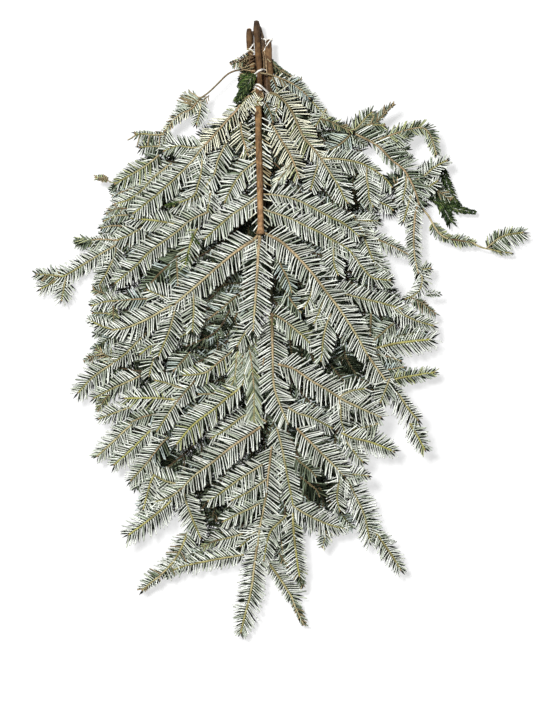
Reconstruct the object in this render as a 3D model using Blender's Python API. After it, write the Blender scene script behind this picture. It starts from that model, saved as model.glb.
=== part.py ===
"""Bunch of cut fir boughs tied with twine, lying on a surface with the needles' undersides up.

+Y runs to the cut ends, +X across the bunch and +Z up. The surface is z = 0, and the origin
is on it, under the middle of the bunch. Lengths below are in millimetres.

Four boughs lie over each other: the front bough on top, then the left and the right one, and
the back bough under them. Each has a woody stem, and one spray for each limb past a main fork.
A spray is the closed outer shape of a limb's needles and side shoots, out to their tips.
The sprays lie in layers, each a fifth of the pile's height at that place.
"""

import math

import bmesh
import bpy
from mathutils import Vector
from mathutils.geometry import convex_hull_2d

MM = 0.001

# The pile's height: RIM_HEIGHT at its edge, and CROWN_HEIGHT more over its middle.
RIM_HEIGHT = 34.0
CROWN_HEIGHT = 52.0
CROWN_HALF_WIDTH = 260.0
CROWN_TOP = 520.0  # towards the cut ends, where the crown has faded out
CROWN_BOTTOM = -520.0
TOP_FADE = 360.0
BOTTOM_FADE = 400.0

LAYERS = 5
LAYER_GAP = 2.0  # between a spray and those in the next layers
EDGE_SHARE = 0.5  # thickness at the needle tips, as a share of that at the twig
NEEDLE_ANGLE = math.radians(60.0)  # between the needles and their twig

STEM_SIDES = 4  # bevel resolution
STEM_STEPS = 3  # stretches between two points of a stem
TWINE_RADIUS = 1.3
TWINE_CLEARANCE = 0.5
TWINE_PITCH = 4.6
TWINE_SAMPLES = 16  # points round each stem that the twine is drawn over

BARK = ("bark", (0.23, 0.14, 0.08), 0.85)
NEEDLES = ("needles", (0.42, 0.50, 0.38), 0.55)
TWINE = ("twine", (0.85, 0.83, 0.78), 0.9)

# Stems: x, y, height as a share of the pile's, and radius.
STEMS = {
    "front": [
        (-36, 494, 0.88, 4.3), (-35, 470, 0.9, 5.0), (-33, 440, 0.9, 5.0), (-31, 412, 0.9, 4.6),
        (-31, 386, 0.9, 4.9), (-32, 372, 0.9, 5.9), (-33, 352, 0.9, 5.0), (-33, 320, 0.9, 5.2),
        (-32, 285, 0.9, 5.3), (-31, 250, 0.9, 5.3), (-30, 205, 0.9, 4.9), (-29.5, 170, 0.9, 5.0),
        (-29.5, 150, 0.9, 5.6),
    ],
    "left": [
        (-48, 482, 0.8, 3.4), (-48, 470, 0.8, 4.4), (-46, 440, 0.75, 4.4), (-41, 410, 0.66, 4.3),
        (-42, 386, 0.56, 4.3), (-50, 360, 0.5, 4.3), (-72, 330, 0.5, 4.1), (-98, 298, 0.5, 3.8),
        (-122, 268, 0.5, 3.4),
    ],
    "right": [
        (-16, 463, 0.86, 3.8), (-16.5, 452, 0.86, 4.3), (-16.5, 436, 0.86, 4.5), (-13.5, 412, 0.78, 4.5),
        (-13, 386, 0.64, 4.5), (-7, 362, 0.52, 4.4), (8, 336, 0.5, 4.2), (34, 306, 0.5, 3.9),
        (64, 280, 0.5, 3.5),
    ],
    "back": [
        (-33, 485, 0.62, 3.8), (-29, 465, 0.64, 4.5), (-25.5, 440, 0.66, 4.6), (-26.5, 412, 0.62, 4.6),
        (-24, 386, 0.56, 4.6), (-22, 360, 0.5, 4.6), (-20, 300, 0.5, 4.5), (-18, 220, 0.5, 4.3),
        (-15, 130, 0.5, 4.1), (-13, 40, 0.5, 3.8),
    ],
}

# Wraps of twine: the stems inside, y over the front stem, fall in y along +X, and turns.
WRAPS = {
    "twine_top": (("front", "back", "right"), 455.0, 0.35, 1),
    "twine_upper": (("front", "left", "back"), 411.0, -0.55, 1),
    "twine_lower": (("front", "left", "right", "back"), 389.0, 0.5, 2),
}

# Sprays: layer, counted from the surface, then along the limb x, y, and the reach of the
# needles or side shoots to the left and to the right of it.
SPRAYS = {
    "front": {
        "leader": (4, [
            (-32, 140, 3, 3), (-34, 116, 17, 17), (-36, 84, 25, 25), (-38, 48, 27, 27),
            (-40, 18, 20, 20), (-41, -6, 8, 8),
        ]),
        "fork_left": (4, [
            (-40, 141, 3, 3), (-60, 127, 14, 16), (-85, 108, 22, 24), (-112, 86, 26, 26),
            (-140, 61, 26, 26), (-158, 45, 6, 6),
        ]),
        "fork_left_outer": (4, [
            (-169, 37, 3, 6), (-190, 24, 17, 18), (-214, 12, 22, 22), (-245, -1, 22, 24),
            (-270, -1, 22, 22), (-292, 6, 10, 10),
        ]),
        "fork_left_inner": (4, [
            (-162, 31, 3, 2), (-168, 14, 14, 8), (-175, -6, 20, 15), (-183, -28, 20, 20),
            (-192, -46, 8, 8),
        ]),
        "fork_right": (4, [
            (-21, 148, 2, 2), (2, 139, 11, 14), (28, 115, 20, 24), (54, 83, 24, 26),
            (77, 55, 24, 26), (99, 26, 24, 26), (120, -6, 22, 24), (136, -34, 6, 6),
        ]),
        "fork_right_tip": (4, [
            (144, -48, 3, 3), (158, -66, 16, 16), (174, -87, 22, 22), (196, -115, 24, 24),
            (212, -142, 24, 22), (222, -168, 18, 18), (231, -192, 7, 7),
        ]),
        "side_right_upper": (4, [
            (-22, 213, 2, 2), (-5, 212, 14, 9), (14, 208, 22, 11), (42, 195, 26, 12),
            (64, 184, 26, 13), (84, 173, 24, 13), (104, 160, 19, 12), (124, 147, 7, 7),
        ]),
        "side_right_lower": (4, [
            (-22, 186, 2, 2), (-4, 181, 8, 14), (25, 170, 13, 22), (60, 154, 14, 26),
            (87, 139, 14, 26), (106, 124, 14, 25), (122, 111, 20, 22), (141, 92, 20, 20),
            (156, 81, 16, 18), (176, 76, 7, 7),
        ]),
        "side_left_upper": (4, [
            (-39, 265, 2, 2), (-48, 257, 11, 10), (-61, 246, 18, 16), (-74, 224, 20, 20),
            (-86, 202, 7, 7),
        ]),
        "side_left_lower": (4, [
            (-38, 207, 2, 2), (-50, 197, 10, 7), (-66, 184, 20, 13), (-88, 166, 24, 21),
            (-111, 148, 9, 9),
        ]),
        "limb_left": (4, [
            (-45, 372, 2, 2), (-53, 364, 9, 6), (-66, 350, 16, 12), (-82, 333, 20, 15),
            (-100, 312, 22, 18), (-112, 298, 16, 14), (-123, 287, 4, 4),
        ]),
        "limb_left_end": (4, [
            (-130, 280, 2, 3), (-141, 268, 12, 16), (-155, 254, 22, 24), (-180, 228, 24, 24),
            (-204, 207, 24, 24), (-222, 191, 18, 18), (-237, 178, 7, 7),
        ]),
        "limb_right": (4, [
            (-2, 371, 2, 3), (8, 362, 14, 12), (20, 346, 20, 15), (30, 326, 20, 18),
            (41, 304, 20, 20), (54, 287, 16, 20), (64, 273, 4, 4),
        ]),
        "limb_right_end": (4, [
            (68, 266, 2, 3), (77, 254, 14, 20), (90, 232, 20, 24), (102, 212, 18, 17),
            (109, 200, 6, 6),
        ]),
        "limb_right_side": (4, [
            (74, 273, 3, 2), (90, 272, 14, 8), (106, 268, 20, 13), (130, 262, 20, 18),
            (155, 249, 20, 20), (172, 236, 14, 14), (182, 225, 6, 6),
        ]),
    },
    "left": {
        "collar": (3, [(-54, 400, 3, 3), (-59, 386, 11, 10), (-67, 371, 13, 12), (-74, 361, 6, 6)]),
        "shoulder": (3, [
            (-126, 368, 3, 6), (-138, 356, 14, 22), (-152, 344, 18, 18), (-170, 330, 20, 18),
            (-190, 315, 20, 18), (-210, 312, 18, 16), (-233, 311, 7, 7),
        ]),
        "outer": (3, [
            (-192, 278, 3, 3), (-208, 265, 16, 18), (-226, 253, 22, 20), (-246, 243, 20, 20),
            (-266, 233, 8, 8),
        ]),
        "inner": (3, [
            (-84, 298, 3, 3), (-92, 284, 14, 14), (-98, 268, 18, 18), (-106, 242, 20, 20),
            (-118, 222, 18, 20), (-134, 208, 12, 18), (-152, 199, 12, 16), (-168, 194, 6, 6),
        ]),
        "long": (3, [
            (-112, 188, 3, 3), (-122, 180, 12, 8), (-140, 168, 20, 16), (-158, 153, 26, 26),
            (-182, 138, 26, 30), (-205, 122, 26, 28), (-232, 95, 24, 24), (-250, 81, 18, 18),
            (-264, 69, 7, 7),
        ]),
        "far": (2, [
            (-212, 166, 3, 3), (-232, 152, 18, 18), (-256, 136, 24, 20), (-276, 124, 26, 28),
            (-298, 109, 24, 26), (-321, 94, 20, 18), (-342, 84, 12, 12), (-360, 81, 18, 14),
            (-378, 79, 20, 16), (-390, 80, 8, 7),
        ]),
        "middle": (3, [
            (-208, 46, 3, 3), (-226, 45, 14, 14), (-250, 44, 18, 18), (-275, 41, 18, 18),
            (-292, 38, 12, 12), (-305, 35, 6, 6),
        ]),
    },
    "right": {
        "collar": (4, [
            (-2, 402, 2, 3), (10, 399, 10, 14), (26, 393, 13, 16), (42, 381, 16, 16),
            (58, 366, 16, 16), (72, 354, 14, 12), (82, 346, 6, 6),
        ]),
        "limb": (3, [
            (104, 306, 4, 4), (122, 310, 24, 18), (145, 300, 22, 18), (168, 284, 24, 20),
            (190, 263, 26, 22), (208, 240, 26, 22), (219, 220, 18, 16), (224, 205, 4, 4),
        ]),
        "loop": (4, [
            (166, 308, 3, 3), (185, 313, 14, 12), (212, 320, 16, 12), (232, 316, 14, 10),
            (245, 302, 14, 10), (252, 285, 6, 6),
        ]),
        "hanging": (3, [
            (224, 194, 3, 3), (219, 176, 14, 16), (216, 156, 16, 16), (216, 134, 16, 14),
            (219, 112, 14, 12), (226, 92, 14, 12), (230, 72, 14, 16), (224, 58, 18, 18),
            (212, 47, 10, 10),
        ]),
        "far": (2, [
            (236, 188, 2, 2), (244, 176, 5, 5), (256, 158, 12, 10), (276, 144, 10, 12),
            (300, 139, 12, 12), (322, 133, 6, 6), (338, 130, 12, 6), (354, 131, 24, 12),
            (370, 133, 26, 14), (383, 136, 20, 10), (390, 138, 6, 6),
        ]),
        "turned": (1, [
            (228, 222, 3, 3), (246, 213, 20, 14), (264, 205, 24, 18), (282, 196, 16, 24),
            (300, 190, 8, 8), (318, 186, 3, 3),
        ]),
        "middle": (3, [
            (84, 60, 3, 3), (100, 57, 14, 14), (126, 50, 20, 20), (160, 40, 22, 24),
            (190, 30, 20, 24), (208, 19, 20, 24), (226, 10, 20, 24), (248, 2, 8, 8),
        ]),
        "inner": (3, [
            (120, 180, 3, 3), (129, 162, 18, 14), (138, 141, 26, 18), (148, 118, 24, 18),
            (157, 99, 14, 12), (161, 90, 6, 6),
        ]),
    },
    "back": {
        "leader": (3, [
            (-12, 20, 3, 3), (-11, -6, 18, 14), (-10, -40, 24, 24), (-7, -72, 26, 24),
            (-2, -102, 24, 24), (6, -130, 18, 20), (13, -150, 7, 7),
        ]),
        "side_right": (4, [
            (4, -61, 3, 3), (24, -66, 12, 14), (50, -83, 20, 20), (77, -99, 24, 24),
            (101, -113, 22, 24), (126, -126, 18, 22), (146, -137, 12, 16), (162, -144, 6, 6),
        ]),
        "side_right_low": (3, [
            (96, -162, 3, 3), (112, -173, 16, 16), (132, -179, 20, 18), (152, -184, 20, 20),
            (170, -191, 16, 16), (188, -199, 7, 7),
        ]),
        "side_left_middle": (3, [
            (-40, -35, 3, 3), (-62, -44, 16, 14), (-86, -54, 22, 20), (-115, -69, 22, 22),
            (-138, -77, 20, 24), (-160, -82, 8, 8),
        ]),
        "side_left_outer": (3, [
            (-206, -6, 3, 3), (-226, -24, 18, 18), (-250, -46, 24, 24), (-275, -63, 24, 26),
            (-298, -79, 20, 20), (-313, -93, 12, 12), (-323, -104, 5, 5),
        ]),
        "side_left_low": (3, [
            (-142, -102, 3, 3), (-160, -114, 18, 14), (-184, -115, 22, 20), (-208, -113, 22, 22),
            (-236, -118, 20, 20), (-264, -130, 16, 16), (-290, -143, 6, 6),
        ]),
        "drop_left": (4, [
            (-64, -98, 3, 3), (-84, -113, 16, 16), (-108, -132, 22, 22), (-137, -155, 26, 26),
            (-164, -183, 24, 24), (-190, -205, 22, 22), (-214, -223, 20, 20), (-237, -244, 7, 7),
        ]),
        "drop_left_outer": (3, [
            (-206, -162, 3, 3), (-222, -176, 16, 18), (-244, -190, 22, 22), (-264, -202, 22, 18),
            (-284, -210, 7, 7),
        ]),
        "low_left": (4, [
            (-36, -164, 3, 3), (-56, -177, 14, 15), (-79, -192, 22, 22), (-107, -215, 24, 24),
            (-133, -235, 20, 20), (-150, -250, 4, 4),
        ]),
        "low_left_end": (4, [
            (-158, -260, 3, 3), (-170, -270, 14, 16), (-188, -289, 20, 20), (-208, -307, 20, 18),
            (-228, -323, 18, 14), (-243, -335, 7, 7),
        ]),
        "low_far": (3, [
            (-150, -270, 3, 3), (-144, -294, 18, 18), (-144, -322, 20, 18), (-158, -354, 22, 18),
            (-176, -382, 22, 18), (-196, -403, 18, 16), (-212, -420, 12, 12), (-224, -433, 6, 6),
        ]),
        "low_inner": (3, [
            (-26, -214, 3, 3), (-44, -229, 14, 14), (-66, -245, 20, 20), (-92, -262, 20, 22),
            (-114, -277, 7, 7),
        ]),
        "low_right": (4, [
            (34, -166, 3, 3), (46, -179, 14, 14), (63, -195, 20, 20), (84, -215, 22, 22),
            (102, -230, 18, 22), (122, -237, 18, 20), (144, -240, 7, 7),
        ]),
        "low_right_end": (3, [
            (104, -250, 3, 3), (113, -268, 20, 20), (126, -292, 24, 26), (142, -320, 24, 24),
            (162, -344, 20, 18), (182, -368, 18, 16), (198, -391, 6, 6),
        ]),
        "tip_middle": (3, [
            (22, -300, 3, 3), (24, -318, 16, 16), (26, -344, 22, 22), (30, -372, 20, 20),
            (34, -392, 14, 14), (38, -410, 6, 6),
        ]),
        "tip_left": (3, [
            (-30, -318, 3, 3), (-36, -346, 20, 22), (-40, -376, 22, 24), (-44, -410, 24, 24),
            (-51, -443, 26, 26), (-56, -467, 18, 18), (-60, -490, 8, 8),
        ]),
        "tip_right": (2, [
            (-8, -376, 3, 3), (0, -396, 16, 16), (12, -418, 20, 20), (23, -438, 20, 20),
            (31, -458, 14, 12), (39, -476, 5, 5),
        ]),
    },
    # The sprays that lie on the surface, under the others.
    "base": {
        "upper": (0, [
            (-24, 330, 6, 6), (-24, 290, 30, 30), (-23, 230, 40, 40), (-21, 160, 44, 44),
            (-19, 90, 40, 40), (-17, 40, 14, 14),
        ]),
        "lower": (0, [
            (-15, 10, 8, 8), (-12, -50, 36, 36), (-8, -130, 42, 42), (-4, -210, 38, 38),
            (-6, -280, 34, 34), (-12, -340, 28, 28), (-16, -380, 10, 10),
        ]),
        "left": (0, [
            (-92, 190, 6, 6), (-130, 160, 34, 34), (-190, 115, 38, 38), (-250, 80, 34, 34),
            (-300, 55, 10, 10),
        ]),
        "right": (0, [
            (50, 190, 6, 6), (90, 150, 34, 34), (150, 95, 38, 38), (200, 40, 34, 34),
            (232, 0, 10, 10),
        ]),
        "low_left": (0, [
            (-80, -40, 6, 6), (-130, -90, 34, 34), (-180, -150, 36, 36), (-205, -220, 34, 34),
            (-215, -290, 28, 28), (-218, -330, 8, 8),
        ]),
        "low_right": (0, [
            (60, -60, 6, 6), (100, -110, 34, 34), (140, -170, 36, 36), (160, -240, 32, 32),
            (172, -310, 26, 26), (178, -350, 8, 8),
        ]),
    },
}


def smoothstep(t):
    t = min(max(t, 0.0), 1.0)
    return t * t * (3.0 - 2.0 * t)


def pile_height(x, y):
    """Height of the pile's top over the surface."""
    across = math.exp(-((x / CROWN_HALF_WIDTH) ** 2))
    along = smoothstep((CROWN_TOP - y) / TOP_FADE) * smoothstep((y - CROWN_BOTTOM) / BOTTOM_FADE)
    return RIM_HEIGHT + CROWN_HEIGHT * across * along


def layer_heights(layer, x, y):
    """Lowest and highest point of a spray's middle, in this layer at this place."""
    height = pile_height(x, y)
    low = layer / LAYERS * height + LAYER_GAP / 2
    high = (layer + 1) / LAYERS * height - LAYER_GAP / 2
    return (0.0, high) if layer == 0 else (low, high)


def material(name, colour, roughness):
    found = bpy.data.materials.get(name)
    if found:
        return found
    made = bpy.data.materials.new(name)
    made.use_nodes = True
    shader = made.node_tree.nodes["Principled BSDF"]
    shader.inputs["Base Color"].default_value = (*colour, 1.0)
    shader.inputs["Roughness"].default_value = roughness
    shader.inputs["Metallic"].default_value = 0.0
    return made


def place(name, data, finish, origin, parent):
    """Link an object whose data is drawn about origin, in metres."""
    made = bpy.data.objects.new(name, data)
    data.materials.append(material(*finish))
    bpy.context.scene.collection.objects.link(made)
    made.parent = parent
    made.location = origin - parent.location
    return made


def spray_section(station, along, layer):
    """The six corners across a limb: left edge, top, right edge, underside."""
    x, y, left, right = station
    centre = Vector((x, y))
    across = Vector((-along.y, along.x))
    forward = along * math.cos(NEEDLE_ANGLE)
    sideways = across * math.sin(NEEDLE_ANGLE)
    corners = []
    for edge in (centre + left * (forward + sideways), centre + right * (forward - sideways)):
        low, high = layer_heights(layer, edge.x, edge.y)
        trim = (high - low) * (1.0 - EDGE_SHARE)
        raised = 0.0 if layer == 0 else trim / 2
        corners.append(((edge.x, edge.y, low + raised), (edge.x, edge.y, high - trim / 2)))
    low, high = layer_heights(layer, x, y)
    (left_low, left_high), (right_low, right_high) = corners
    return [left_low, left_high, (x, y, high), right_high, right_low, (x, y, low)]


def spray(name, layer, stations, parent):
    """One closed body along a limb, a six-sided section at each station."""
    origin = Vector((stations[0][0], stations[0][1], 0.0))
    points = [Vector(station[:2]) for station in stations]
    bm = bmesh.new()
    rings = []
    for index, station in enumerate(stations):
        before = points[max(index - 1, 0)]
        after = points[min(index + 1, len(points) - 1)]
        corners = spray_section(station, (after - before).normalized(), layer)
        rings.append([bm.verts.new((Vector(corner) - origin) * MM) for corner in corners])
    for ring, following in zip(rings, rings[1:]):
        for side in range(len(ring)):
            other = (side + 1) % len(ring)
            bm.faces.new((ring[side], ring[other], following[other], following[side]))
    bm.faces.new(reversed(rings[0]))
    bm.faces.new(rings[-1])
    bmesh.ops.recalc_face_normals(bm, faces=bm.faces)
    mesh = bpy.data.meshes.new(name)
    bm.to_mesh(mesh)
    bm.free()
    return place(name, mesh, NEEDLES, origin * MM, parent)


def smooth_route(points, steps):
    """Catmull-Rom curve through points of any dimension."""
    ends = [2 * points[0] - points[1], *points, 2 * points[-1] - points[-2]]
    route = []
    for before, start, end, after in zip(ends, ends[1:], ends[2:], ends[3:]):
        for step in range(steps):
            t = step / steps
            route.append(
                start
                + 0.5 * t * (end - before)
                + t**2 * (before - 2.5 * start + 2 * end - 0.5 * after)
                + t**3 * (1.5 * (start - end) + 0.5 * (after - before))
            )
    return [*route, points[-1]]


def tube(name, route, radii, finish, parent, resolution):
    """Round bar along a route, with a radius at each point."""
    origin = route[0].copy()
    curve = bpy.data.curves.new(name, "CURVE")
    curve.dimensions = "3D"
    curve.bevel_depth = max(radii) * MM
    curve.bevel_resolution = resolution
    curve.use_fill_caps = True
    spline = curve.splines.new("POLY")
    spline.points.add(len(route) - 1)
    for point, place_at, radius in zip(spline.points, route, radii):
        point.co = (*((place_at - origin) * MM), 1.0)
        point.radius = radius / max(radii)
    return place(name, curve, finish, origin * MM, parent)


def stem_route(points):
    """Smoothed x, y, z and radius along a stem."""
    raised = [Vector((x, y, share * pile_height(x, y), radius)) for x, y, share, radius in points]
    return smooth_route(raised, STEM_STEPS)


def stem_at(route, y):
    """x, z and radius of a stem where it passes y."""
    for start, end in zip(route, route[1:]):
        if start.y >= y >= end.y:
            return start.lerp(end, (start.y - y) / (start.y - end.y))
    return route[0]


def wrap_route(routes, y_front, fall, turns):
    """Twine drawn tight round the stems, in a plane that falls along +X, from the underside."""
    front_x = stem_at(routes[0], y_front).x
    circle = [2 * math.pi * sample / TWINE_SAMPLES for sample in range(TWINE_SAMPLES)]
    around = []
    for route in routes:
        for y in (y_front, y_front - TWINE_PITCH * turns):
            centre = stem_at(route, y - fall * (stem_at(route, y).x - front_x))
            reach = centre.w + TWINE_CLEARANCE + TWINE_RADIUS
            middle = Vector((centre.x, centre.z))
            around += [middle + reach * Vector((math.cos(t), math.sin(t))) for t in circle]
    hull = [around[index] for index in convex_hull_2d(around)]
    lowest = hull.index(min(hull, key=lambda point: point.y))
    hull = hull[lowest:] + hull[:lowest]
    route = []
    for step in range(turns * len(hull) - 1):
        x, z = hull[step % len(hull)]
        y = y_front - fall * (x - front_x) - TWINE_PITCH * step / len(hull)
        route.append(Vector((x, y, z)))
    return route


def empty(name, location, parent=None):
    made = bpy.data.objects.new(name, None)
    bpy.context.scene.collection.objects.link(made)
    made.location = location
    made.parent = parent
    return made


def build():
    for old in list(bpy.data.objects):
        bpy.data.objects.remove(old, do_unlink=True)
    bunch = empty("bunch", Vector())
    boughs = {name: empty(f"{name}_bough", Vector(), bunch) for name in SPRAYS}
    routes = {name: stem_route(points) for name, points in STEMS.items()}
    for name, route in routes.items():
        centres = [point.to_3d() for point in route]
        radii = [point.w for point in route]
        tube(f"{name}_stem", centres, radii, BARK, boughs[name], STEM_SIDES)
    for bough, sprays in SPRAYS.items():
        for name, (layer, stations) in sprays.items():
            spray(f"{bough}_{name}", layer, stations, boughs[bough])
    for name, (stems, y_front, fall, turns) in WRAPS.items():
        route = wrap_route([routes[stem] for stem in stems], y_front, fall, turns)
        tube(name, route, [TWINE_RADIUS] * len(route), TWINE, bunch, 2)


build()
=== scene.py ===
import math
import random

import bmesh
import bpy
import numpy as np
from mathutils import Matrix, Vector, noise
from mathutils.bvhtree import BVHTree


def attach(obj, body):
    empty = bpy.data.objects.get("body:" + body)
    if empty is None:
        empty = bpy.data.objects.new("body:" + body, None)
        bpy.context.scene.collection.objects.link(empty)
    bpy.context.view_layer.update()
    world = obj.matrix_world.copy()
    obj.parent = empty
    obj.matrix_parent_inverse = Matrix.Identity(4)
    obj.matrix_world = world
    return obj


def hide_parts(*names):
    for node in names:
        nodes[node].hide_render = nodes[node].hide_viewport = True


# A bunch of cut fir boughs, tied with white twine, lying with the silver undersides up.
# Routes and needle sizes below are in millimetres, in the frame's own axes.

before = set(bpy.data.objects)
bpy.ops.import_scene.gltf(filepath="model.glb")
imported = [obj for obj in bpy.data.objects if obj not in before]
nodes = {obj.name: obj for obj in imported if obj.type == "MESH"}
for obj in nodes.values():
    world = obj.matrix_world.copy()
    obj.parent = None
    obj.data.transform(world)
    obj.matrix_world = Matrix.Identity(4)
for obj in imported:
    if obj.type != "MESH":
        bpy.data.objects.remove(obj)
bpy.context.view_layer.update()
mm = 0.001
upward = Vector((0, 0, 1))
mapName = "OFBake"  # the one map of needles and wood: a sheet of small cells
cells = 8  # cells along each side of the sheet, and the top row of them is the wood's strip


class Signal:  # one output of a node, with arithmetic on it
    def __init__(self, shading, output):
        self.shading = shading
        self.output = output

    def join(self, operation, first, second):
        return self.shading.node("ShaderNodeMath", {"operation": operation}, {0: first, 1: second})

    def __add__(self, other):
        return self.join("ADD", self, other)

    def __sub__(self, other):
        return self.join("SUBTRACT", self, other)

    def __rsub__(self, other):
        return self.join("SUBTRACT", other, self)

    def __mul__(self, other):
        return self.join("MULTIPLY", self, other)

    __radd__ = __add__
    __rmul__ = __mul__


class Shading:  # a material and its nodes
    def __init__(self, name):
        self.material = bpy.data.materials.new(name)
        self.material.use_nodes = True
        self.nodes = self.material.node_tree.nodes
        self.links = self.material.node_tree.links
        self.shader = self.nodes["Principled BSDF"]

    def node(self, kind, settings=None, sockets=None, output=0):
        made = self.nodes.new(kind)
        for name, value in (settings or {}).items():
            if name == "stops":
                self.setStops(made.color_ramp, value)
            elif name == "ramp":
                made.color_ramp.interpolation = value
            else:
                setattr(made, name, value)
        for socket, value in (sockets or {}).items():
            self.feed(made.inputs[socket], value)
        return Signal(self, made.outputs[output])

    def setStops(self, ramp, stops):
        while len(ramp.elements) < len(stops):
            ramp.elements.new(1.0)
        for element, (position, colour) in zip(ramp.elements, stops):
            element.position = position
            element.color = (*colour, 1.0)

    def feed(self, socket, value):
        if isinstance(value, Signal):
            self.links.new(value.output, socket)
        elif socket.type == "RGBA":
            socket.default_value = (*value, 1.0)
        else:
            socket.default_value = value

    def step(self, value, low, high):  # 0 below low, 1 above high, smooth between
        ends = {"Value": value, "From Min": low, "From Max": high}
        return self.node("ShaderNodeMapRange", {"interpolation_type": "SMOOTHSTEP"}, ends)

    def band(self, value, start, full, fade, end):  # 1 from full to fade, 0 before start and past end
        return self.step(value, start, full) * (1.0 - self.step(value, fade, end))

    def blend(self, factor, first, second, way="MIX"):
        kind = {"data_type": "RGBA", "blend_type": way}
        return self.node("ShaderNodeMix", kind, {0: factor, 6: first, 7: second}, 2)

    def ramp(self, factor, stops, way="LINEAR"):
        return self.node("ShaderNodeValToRGB", {"stops": stops, "ramp": way}, {"Fac": factor})

    def sheetPlace(self):
        return self.node("ShaderNodeUVMap", {"uv_map": mapName})

    def objectPlace(self):
        return self.node("ShaderNodeTexCoord", None, None, "Object")

    def axis(self, place, letter):
        return self.node("ShaderNodeSeparateXYZ", None, {0: place}, letter)

    def vector(self, operation, place, other=(0.0, 0.0, 0.0)):
        return self.node("ShaderNodeVectorMath", {"operation": operation}, {0: place, 1: other})

    def grain(self, place, scale, detail, dimensions="3D", roughness=0.5):
        sockets = {"Vector": place, "Scale": scale, "Detail": detail, "Roughness": roughness}
        return self.node("ShaderNodeTexNoise", {"noise_dimensions": dimensions}, sockets)

    def scars(self, place, dimensions="3D", randomness=1.0):  # distance from the nearest of many spots
        sockets = {"Vector": place, "Scale": 1.0, "Randomness": randomness}
        return self.node("ShaderNodeTexVoronoi", {"voronoi_dimensions": dimensions}, sockets, "Distance")

    def finish(self, colour, roughness, specular=0.5, bump=None):
        sockets = {"Base Color": colour, "Roughness": roughness, "Specular IOR Level": specular}
        if bump:
            ends = dict(zip(("Height", "Distance", "Strength"), bump))
            sockets["Normal"] = self.node("ShaderNodeBump", None, ends)
        for socket, value in sockets.items():
            self.feed(self.shader.inputs[socket], value)
        return self.material


# Needle colours by column of the sheet: waxy bands, green of the underside, upper side. The two darkest
# tones are painted shade.
needleTones = {
    "frost": ((0.97, 1.00, 0.93), (0.66, 0.72, 0.52), (0.075, 0.125, 0.035)),
    "silver": ((0.78, 0.85, 0.72), (0.34, 0.43, 0.25), (0.070, 0.115, 0.030)),
    "blue": ((0.60, 0.69, 0.65), (0.20, 0.30, 0.23), (0.036, 0.080, 0.018)),
    "cream": ((0.95, 0.94, 0.76), (0.68, 0.66, 0.36), (0.110, 0.160, 0.030)),
    "lime": ((0.62, 0.66, 0.36), (0.36, 0.41, 0.12), (0.100, 0.190, 0.020)),
    # painted shade: near-black needles that fill the gaps between and under the lit ones
    "shade": ((0.020, 0.030, 0.014), (0.009, 0.014, 0.005), (0.012, 0.026, 0.007)),
    "straw": ((0.48, 0.39, 0.22), (0.27, 0.19, 0.09), (0.17, 0.12, 0.05)),
    # painted shade: silver darkened for needles low in the heap and in its hollows
    "deep": ((0.22, 0.27, 0.18), (0.08, 0.12, 0.05), (0.030, 0.060, 0.012)),
}
toneOrder = list(needleTones)


def needleFinish():
    s = Shading("needles")
    place = s.sheetPlace()
    scaled = s.vector("MULTIPLY", place, (cells, cells, cells))
    cell = s.vector("FLOOR", scaled)
    inside = s.vector("FRACTION", scaled)
    across = s.axis(inside, "X")
    along = s.axis(inside, "Y")
    back = s.step(across, 0.499, 0.501)  # 1 on the dark upper side of a needle
    centre = s.node("ShaderNodeMath", {"operation": "PINGPONG"}, {0: across * 2.0, 1: 0.5})
    edge = 1.0 - centre * 2.0  # 0 on the midrib's line, 1 on either edge
    chance = s.node("ShaderNodeTexWhiteNoise", {"noise_dimensions": "3D"}, {"Vector": cell})
    tint = s.node("ShaderNodeTexWhiteNoise", {"noise_dimensions": "4D"}, {"Vector": cell, "W": 3.7})
    dots = s.grain(s.vector("MULTIPLY", place, (900.0, 260.0, 1.0)), 1.0, 1.0, "2D")
    cloud = s.grain(place, 60.0, 2.0, "2D")
    column = s.axis(place, "X")

    def byTone(which):
        stops = [(index / cells, needleTones[name][which]) for index, name in enumerate(toneOrder)]
        return s.ramp(column, stops, "CONSTANT")

    bands = s.band(edge, 0.04, 0.12, 0.90, 1.0) * s.band(along, 0.03, 0.13, 0.93, 0.99)
    waxy = bands * (0.90 + 0.10 * s.step(dots, 0.35, 0.55)) * (0.94 + 0.12 * cloud)
    under = s.blend(waxy, byTone(1), byTone(0))
    groove = 1.0 - s.step(edge, 0.05, 0.22)
    upper = s.blend(groove * 0.45, byTone(2), (0.10, 0.17, 0.06))
    colour = s.blend(back, under, upper)
    yellowed = (1.0 - s.step(along, 0.02, 0.10)) * 0.6 + s.step(tint, 0.72, 1.0) * 0.22
    colour = s.blend(yellowed, colour, (0.56, 0.55, 0.26))
    light = chance * 0.56 + 0.55  # no two needles are quite as bright
    grey = s.node("ShaderNodeCombineColor", None, {0: light, 1: light, 2: light})
    colour = s.blend(1.0, colour, grey, "MULTIPLY")
    ridge = groove * (1.0 - 2.0 * back) - 0.5 * bands * (1.0 - back) + 0.12 * dots
    return s.finish(colour, 0.62 - 0.1 * back + 0.08 * cloud, 0.2, (ridge, 0.00012, 0.8))


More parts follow.
